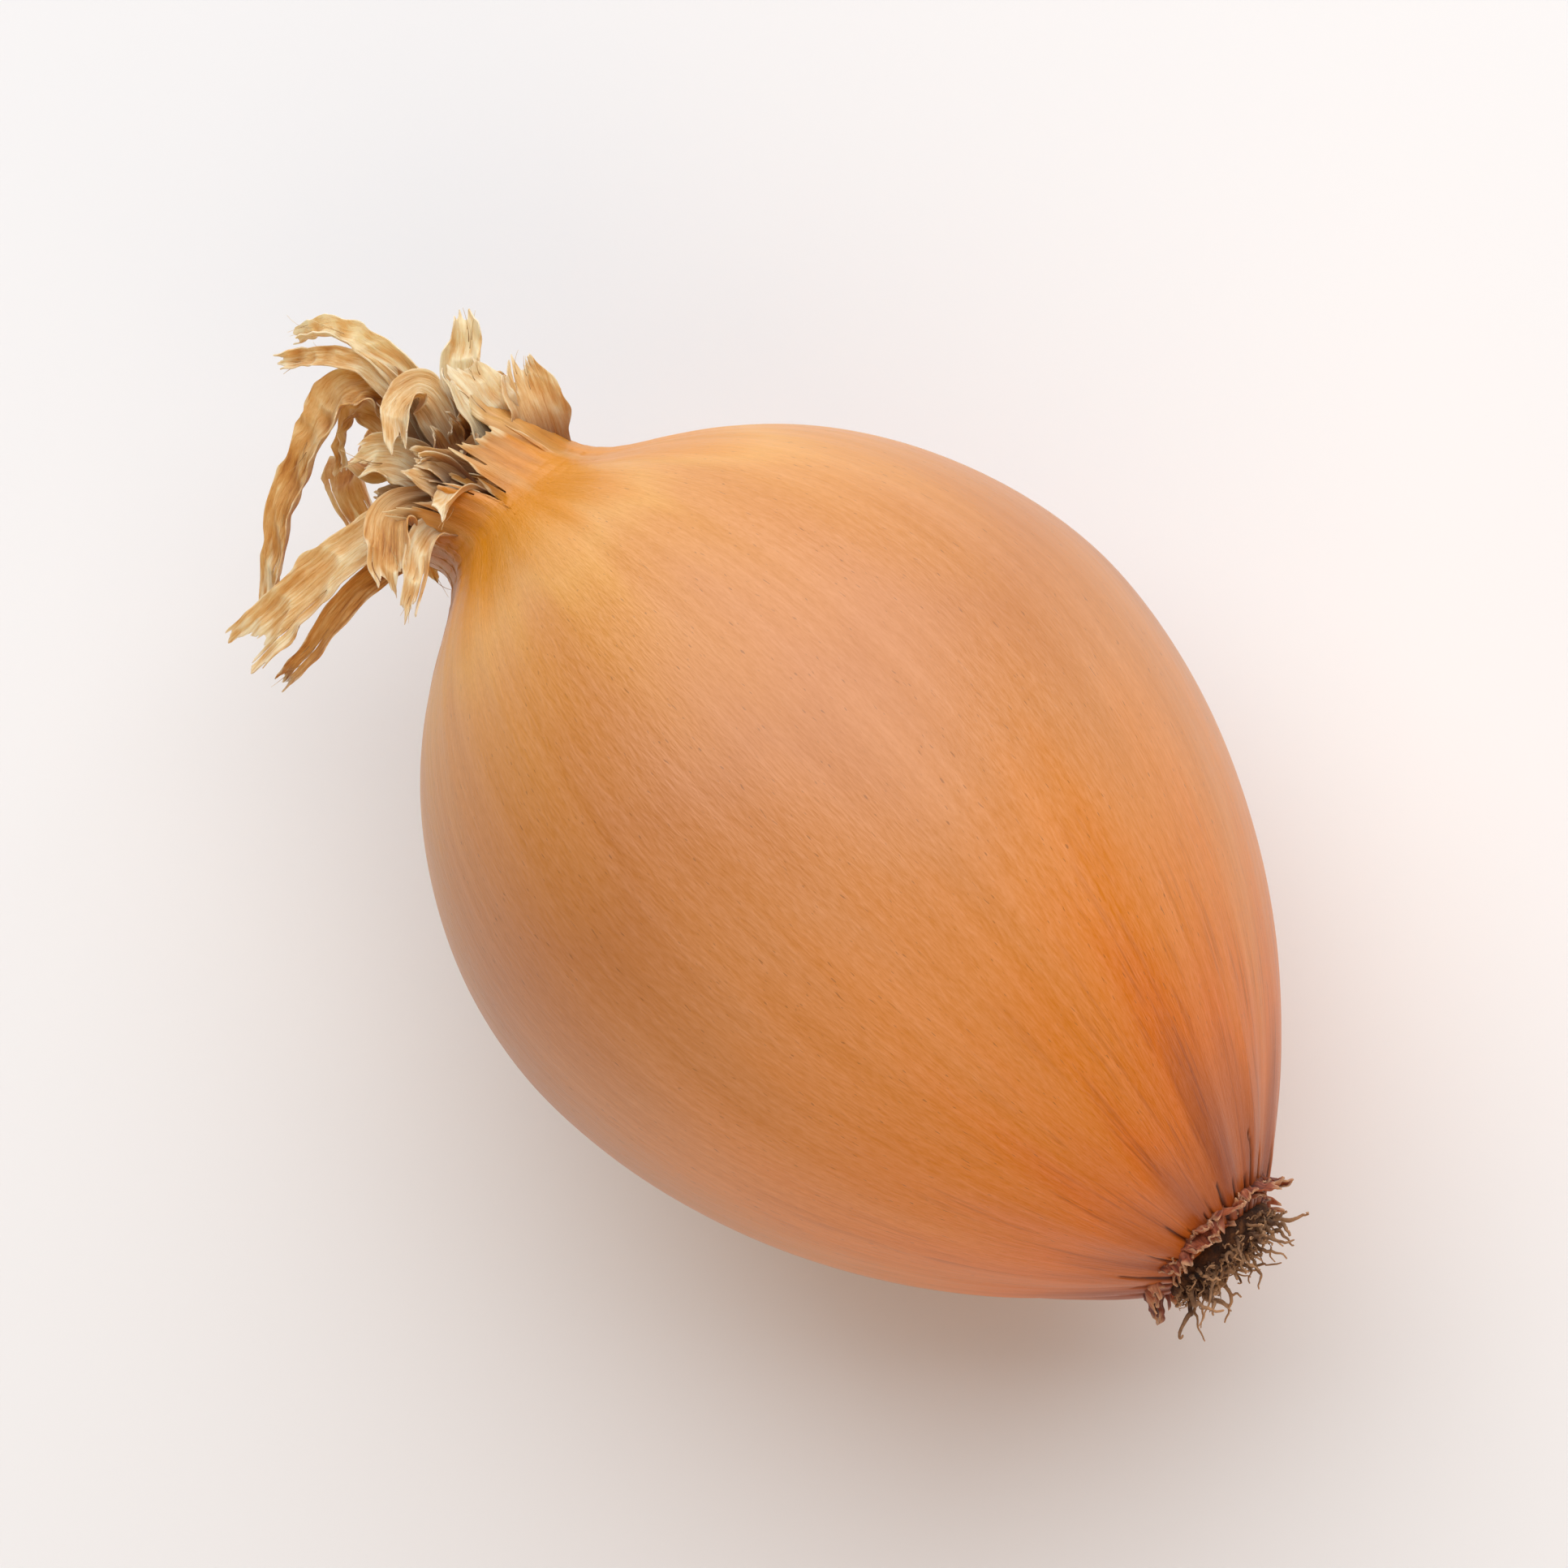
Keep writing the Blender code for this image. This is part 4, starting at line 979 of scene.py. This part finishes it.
def dry_onion_skin():
    """The outer scale of a yellow onion, dried to a satin paper over white flesh: tan-orange with a fine
    grain from pole to pole, golden where it has come loose at the neck, brown veins where it gathers at the
    roots, painted shade in the hollows of its wrinkles, in the collar's crumples and grooves and in the open
    splits at the root, and bleached along its torn top edge."""
    material, tree, shader = new_material("dry_papery_onion_scale", 0.43)
    shader.inputs["Specular IOR Level"].default_value = 0.7
    fibre = add(tree, "Attribute", output="Vector", attribute_name="fibre")
    height, hollow, gap, rim, slit = (add(tree, "Attribute", output="Fac", attribute_name=name)
                                      for name in ("height", "hollow", "gap", "rim", "slit"))
    short_weave = add(tree, "Mapping", {"Vector": fibre, "Scale": (1.0, 1.0, 0.24)})
    long_weave = add(tree, "Mapping", {"Vector": fibre, "Scale": (1.0, 1.0, 0.04)})
    grain, fibres, bundles, patches, gaps, fleck_noise = (
        add(tree, "TexNoise", {"Vector": weave, "Scale": per_mm, "Detail": detail})
        for weave, per_mm, detail in (
            (short_weave, GRAINS_PER_MM, 3.0), (long_weave, FIBRES_PER_MM, 2.0),
            (long_weave, BUNDLES_PER_MM, 2.0), (short_weave, PATCHES_PER_MM, 2.0),
            (short_weave, VEIN_BREAKS_PER_MM, 1.0), (short_weave, FLECKS_PER_MM, 0.0)))
    vein_noise = add(tree, "TexNoise", {
        "Vector": long_weave, "Scale": VEINS_PER_MM, "Detail": 2.0, "Distortion": 0.7})
    smudge_noise = add(tree, "TexNoise", {
        "Vector": short_weave, "Scale": SMUDGES_PER_MM, "Detail": 5.0, "Roughness": 0.7})
    # Colour from root to neck, by height out of 86 mm, its bands shifted to and fro by the patches
    shift = add(tree, "MapRange", {
        "Value": patches, "From Min": 0.3, "From Max": 0.7, "To Min": -5.0, "To Max": 5.0})
    place = add(tree, "Math", {0: height, 1: shift}, operation="ADD")
    share = add(tree, "Math", {0: place, 1: 86.0}, operation="DIVIDE")
    bands = add(tree, "ValToRGB", {"Fac": share}, stops=[
        (0.0, "#A04E1E"), (0.1, "#D8731E"), (0.19, "#DD8435"), (0.28, "#DA8C49"), (0.38, "#D08B52"),
        (0.5, "#C47F47"), (0.6, "#C98444"), (0.7, "#D18E47"), (0.75, "#D99A4C"), (0.8, "#D68C2C"),
        (0.84, "#D0841C"), (0.88, "#CE9044"), (0.93, "#CC9A56"), (1.0, "#D6B47E")])
    # A vein lies where its noise crosses the middle
    off_middle = add(tree, "Math", {0: vein_noise, 1: 0.5}, operation="SUBTRACT")
    distance = add(tree, "Math", {0: off_middle}, operation="ABSOLUTE")
    bleached = add(tree, "Math", {0: rim, 1: fibres}, operation="MULTIPLY")
    # Each mask follows a value from a start to an end, and goes from one share to another
    ends, line, near_root, broken, fleck, smudge, shade, groove_shade, pale, gloss = (
        add(tree, "MapRange", {
            "Value": value, "From Min": start, "From Max": end, "To Min": low, "To Max": high})
        for value, start, end, low, high in (
            (place, 8.0, 26.0, 1.2, 1.0), (distance, 0.0, 0.05, 1.0, 0.0), (place, 5.0, 25.0, 0.45, 0.0),
            (gaps, 0.48, 0.62, 0.0, 1.0), (fleck_noise, 0.77, 0.85, 0.0, 0.42),
            (smudge_noise, 0.66, 0.8, 0.0, 0.1), (hollow, 0.0, 1.0, 0.0, 0.2), (gap, 0.2, 1.4, 0.0, 0.55),
            (bleached, 0.1, 0.55, 0.0, 0.85), (grain, 0.3, 0.7, 0.3, 0.44)))
    # Darker fibres are richer in colour, and clearer near the root
    tints = []
    for noise, spread in ((grain, 0.2), (fibres, 0.1), (bundles, 0.11)):
        centred = add(tree, "Math", {0: noise, 1: 0.5}, operation="SUBTRACT")
        tints.append(add(tree, "Math", {0: centred, 1: spread}, operation="MULTIPLY"))
    streaks = add(tree, "Math", {0: tints[1], 1: tints[2]}, operation="ADD")
    streaks = add(tree, "Math", {0: streaks, 1: ends, 2: tints[0]}, operation="MULTIPLY_ADD")
    value = add(tree, "Math", {0: streaks, 1: 1.3, 2: 1.0}, operation="MULTIPLY_ADD")
    richness = add(tree, "Math", {0: streaks, 1: -0.7, 2: 1.0}, operation="MULTIPLY_ADD")
    colour = add(tree, "HueSaturation", {"Color": bands, "Saturation": richness, "Value": value})
    # Broken veins near the root only, small dark flecks, a few faint smudges, and the bleached torn edge;
    # painted shade in the hollows of the wrinkles and the collar's crumples, in the gaps between the
    # collar's fibres and in its creases, and in the open splits at the root
    vein = add(tree, "Math", {0: line, 1: near_root}, operation="MULTIPLY")
    vein = add(tree, "Math", {0: vein, 1: broken}, operation="MULTIPLY")
    marks = add(tree, "Math", {0: fleck, 1: smudge}, operation="MAXIMUM")
    for mask, code in ((vein, "#823611"), (marks, "#5F3A24"), (shade, "#86390F"), (groove_shade, "#7E4C20"),
                       (slit, "#3C170A"), (pale, "#E2CDA0")):
        colour = add(tree, "Mix", {0: mask, 6: colour, 7: linear(code)}, output=2, data_type="RGBA")
    tree.links.new(colour, shader.inputs["Base Color"])
    tree.links.new(gloss, shader.inputs["Roughness"])
    relief = add(tree, "Math", {0: fibres, 1: 0.4, 2: grain}, operation="MULTIPLY_ADD")
    bump = add(tree, "Bump", {"Strength": 0.6, "Distance": 0.06 * MM, "Height": relief})
    tree.links.new(bump, shader.inputs["Normal"])
    return material


def dry_leaf(name, stops, rim_colour, painted_shade_colour):
    """Dried onion leaf: stiff fibres with papery tissue between them, that lets some light through; painted
    light and shade on its ribs and folds, painted shade where it starts, down in the neck, bleached along
    its torn edges."""
    material, tree, shader = new_material(name, 0.6, 0.1)
    weave = add(tree, "Attribute", output="Vector", attribute_name="weave")
    rib, rim, sunken_shade, tone = (add(tree, "Attribute", output="Fac", attribute_name=label)
                            for label in ("rib", "rim", "sunken_shade", "tone"))
    long_weave = add(tree, "Mapping", {"Vector": weave, "Scale": (1.0, 0.08, 3.0)})
    streaks = add(tree, "TexNoise", {
        "Vector": long_weave, "Scale": LEAF_FIBRES_PER_MM, "Detail": 3.0, "Roughness": 0.7})
    stains = add(tree, "TexNoise", {"Vector": weave, "Scale": LEAF_STAINS_PER_MM, "Detail": 3.0})
    # Tone follows the streaks and the stains, and the ribs: painted light on them, painted shade between
    # them
    for noise, spread, middle in ((streaks, 0.9, 0.5), (stains, 0.3, 0.5), (rib, 0.3, 0.62)):
        centred = add(tree, "Math", {0: noise, 1: middle}, operation="SUBTRACT")
        tone = add(tree, "Math", {0: centred, 1: spread, 2: tone}, operation="MULTIPLY_ADD")
    colour = add(tree, "ValToRGB", {"Fac": tone}, stops=stops)
    rim_streaks = add(tree, "Math", {0: rim, 1: streaks}, operation="MULTIPLY")
    pale = add(tree, "MapRange", {"Value": rim_streaks, "From Min": 0.1, "From Max": 0.6, "To Max": 0.8})
    # Painted shade where a sheet starts: down in the neck, low in the collar and at the curls' feet
    painted_shade = add(tree, "Math", {0: sunken_shade, 1: 0.75}, operation="MULTIPLY")
    for mask, code in ((pale, rim_colour), (painted_shade, painted_shade_colour)):
        colour = add(tree, "Mix", {0: mask, 6: colour, 7: linear(code)}, output=2, data_type="RGBA")
    tree.links.new(colour, shader.inputs["Base Color"])
    bump = add(tree, "Bump", {"Strength": 0.8, "Distance": 0.16 * MM, "Height": streaks})
    tree.links.new(bump, shader.inputs["Normal"])
    shader.inputs["Subsurface Weight"].default_value = 0.3
    shader.inputs["Subsurface Radius"].default_value = (1.0, 0.65, 0.35)
    shader.inputs["Subsurface Scale"].default_value = 0.8 * MM
    return material


def dried_fibre(name, base_colour, tip_colour):
    """Dried rootlet or leaf fibre: a wiry thread, dull, darker where it starts."""
    material, tree, shader = new_material(name, 0.8)
    along, tone = (add(tree, "Attribute", output="Fac", attribute_name=label) for label in ("along", "tone"))
    place = add(tree, "TexCoord", output="Object")
    grain = add(tree, "TexNoise", {"Vector": place, "Scale": ROOT_FIBRES_PER_MM / MM, "Detail": 3.0})
    share = add(tree, "Math", {0: tone, 1: 0.6, 2: along}, operation="MULTIPLY_ADD")
    share = add(tree, "Math", {0: share, 1: grain}, operation="ADD")
    spread = add(tree, "MapRange", {"Value": share, "From Min": 0.75, "From Max": 1.9})
    colour = add(tree, "ValToRGB", {"Fac": spread}, stops=[(0.0, base_colour), (1.0, tip_colour)])
    tree.links.new(colour, shader.inputs["Base Color"])
    bump = add(tree, "Bump", {"Strength": 0.5, "Distance": 0.1 * MM, "Height": grain})
    tree.links.new(bump, shader.inputs["Normal"])
    return material


def root_mat():
    """The root plate: corky tissue matted with root stubs and a trace of soil, nearly black in its pits."""
    material, tree, shader = new_material("corky_root_plate", 0.9)
    place = add(tree, "TexCoord", output="Object")
    clumps = add(tree, "TexNoise", {
        "Vector": place, "Scale": ROOT_CLUMPS_PER_MM / MM, "Detail": 5.0, "Roughness": 0.7})
    colour = add(tree, "ValToRGB", {"Fac": clumps}, stops=[
        (0.3, "#1F1109"), (0.5, "#44250F"), (0.7, "#754A28")])
    tree.links.new(colour, shader.inputs["Base Color"])
    bump = add(tree, "Bump", {"Strength": 0.8, "Distance": 0.4 * MM, "Height": clumps})
    tree.links.new(bump, shader.inputs["Normal"])
    return material


def dress(piece, material, slot, *nodes):
    """Gives a piece its material, lets it ride on the body and stand for CAD nodes."""
    piece.data.materials.clear()
    piece.data.materials.append(material)
    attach(piece, "root")
    if nodes:
        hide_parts(*nodes)


def make_onion():
    """Makes every piece and dresses it, from the skin to the roots."""
    skin = dry_onion_skin()
    straw = dry_leaf("dried_onion_leaf", [
        (0.0, "#6A3A17"), (0.25, "#A0682F"), (0.48, "#C68F4E"), (0.72, "#DCB17C"), (1.0, "#EFDAB2"),
    ], "#F2E2C2", "#571F06")
    curl_skin = dry_leaf("crinkled_skin_at_the_root", [
        (0.0, "#3E170C"), (0.35, "#7C3822"), (0.65, "#A75A3A"), (1.0, "#C68A66"),
    ], "#CFA07C", "#34150B")
    dress(make_bulb_skin(), skin, "onion_skin", "bulb")
    collar = [collar_sheet(*sheet, layer) for layer, sheets in enumerate((COLLAR, INNER_COLLAR))
              for sheet in sheets]
    dress(sheet_piece("neck_collar", collar, LEAF_THICKNESS), skin, "dry_leaf", "neck_leaves")
    dress(sheet_piece("neck_scroll", [core_scroll()], LEAF_THICKNESS), straw, "dry_leaf", "neck_leaves")
    for name, shape in LEAVES.items():
        leaf = sheet_piece("neck_leaf_" + name, [leaf_sheet(name, *shape)], LEAF_THICKNESS)
        dress(leaf, straw, "dry_leaf", "neck_leaves")
    shreds = [shred_sheet(index) for index in range(SHREDS)]
    dress(sheet_piece("neck_shreds", shreds, LEAF_THICKNESS), straw, "dry_leaf", "neck_leaves")
    dress(make_frays(), dried_fibre("dried_leaf_fibre", "#9A6E3C", "#E2C592"), "dry_leaf")
    curls = [curl_sheet(index) for index in range(CURLS + SCRAPS)]
    dress(sheet_piece("root_skin_curls", curls, SKIN_THICKNESS), curl_skin, "onion_skin")
    dress(make_root_plate(), root_mat(), "dried_root", "root_tuft")
    dress(make_rootlets(), dried_fibre("dried_rootlet", "#3E2212", "#BC8F68"), "dried_root", "root_tuft")


def make_floor():
    """A plain pale floor under the onion."""
    material, _, shader = new_material("pale_matt_floor", 0.9)
    shader.inputs["Base Color"].default_value = linear("#EBECEF")
    mesh = bpy.data.meshes.new("floor")
    corners = [(x * FLOOR_REACH, y * FLOOR_REACH, 0.0) for x, y in ((-1, -1), (1, -1), (1, 1), (-1, 1))]
    mesh.from_pydata(corners, [], [(0, 1, 2, 3)])
    mesh.materials.append(material)
    floor = bpy.data.objects.new("floor", mesh)
    bpy.context.scene.collection.objects.link(floor)
    floor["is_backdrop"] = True


def make_lights():
    """A pale surround and two soft lights that face the onion: a large one high on the photograph's upper
    side and a weaker, warmer one across from it, that leaves no reflection."""
    world = bpy.data.worlds.new("soft_surround")
    world.use_nodes = True
    background = world.node_tree.nodes["Background"]
    background.inputs["Color"].default_value = linear("#FFFFFF")
    background.inputs["Strength"].default_value = SURROUND_STRENGTH
    bpy.context.scene.world = world
    up = np.array([-math.sin(CAMERA_ROLL), math.cos(CAMERA_ROLL)])
    right = np.array([math.cos(CAMERA_ROLL), math.sin(CAMERA_ROLL)])
    for name, (upward, rightward, lift, size, power, tint) in LIGHTS.items():
        lamp = bpy.data.lights.new(name, "AREA")
        lamp.shape = "SQUARE"
        lamp.size = size
        lamp.energy = power
        lamp.color = tint
        item = bpy.data.objects.new(name, lamp)
        item.location = (*(upward * up + rightward * right), lift)
        item.rotation_euler = (-item.location).to_track_quat("-Z", "Y").to_euler()
        item.visible_camera = False
        item.visible_glossy = name == "key"
        bpy.context.scene.collection.objects.link(item)


def make_camera():
    """Above the onion and a little to its root side, turned so that the neck points to the picture's upper
    left."""
    low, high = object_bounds()
    centre = (low + high) / 2
    camera = bpy.data.cameras.new("camera")
    camera.lens = CAMERA_LENS
    camera.sensor_width = SENSOR
    camera.clip_start = NEAREST_SEEN
    item = bpy.data.objects.new("camera", camera)
    facing = Matrix.Rotation(CAMERA_TILT, 3, "Y") @ Matrix.Rotation(CAMERA_ROLL, 3, "Z")
    item.location = centre + facing @ Vector((0.0, 0.0, VIEW_WIDTH * CAMERA_LENS / SENSOR))
    item.rotation_euler = facing.to_euler()
    bpy.context.scene.collection.objects.link(item)
    bpy.context.scene.camera = item


make_onion()
make_floor()
make_lights()
make_camera()
bpy.context.scene.view_settings.view_transform = "Standard"
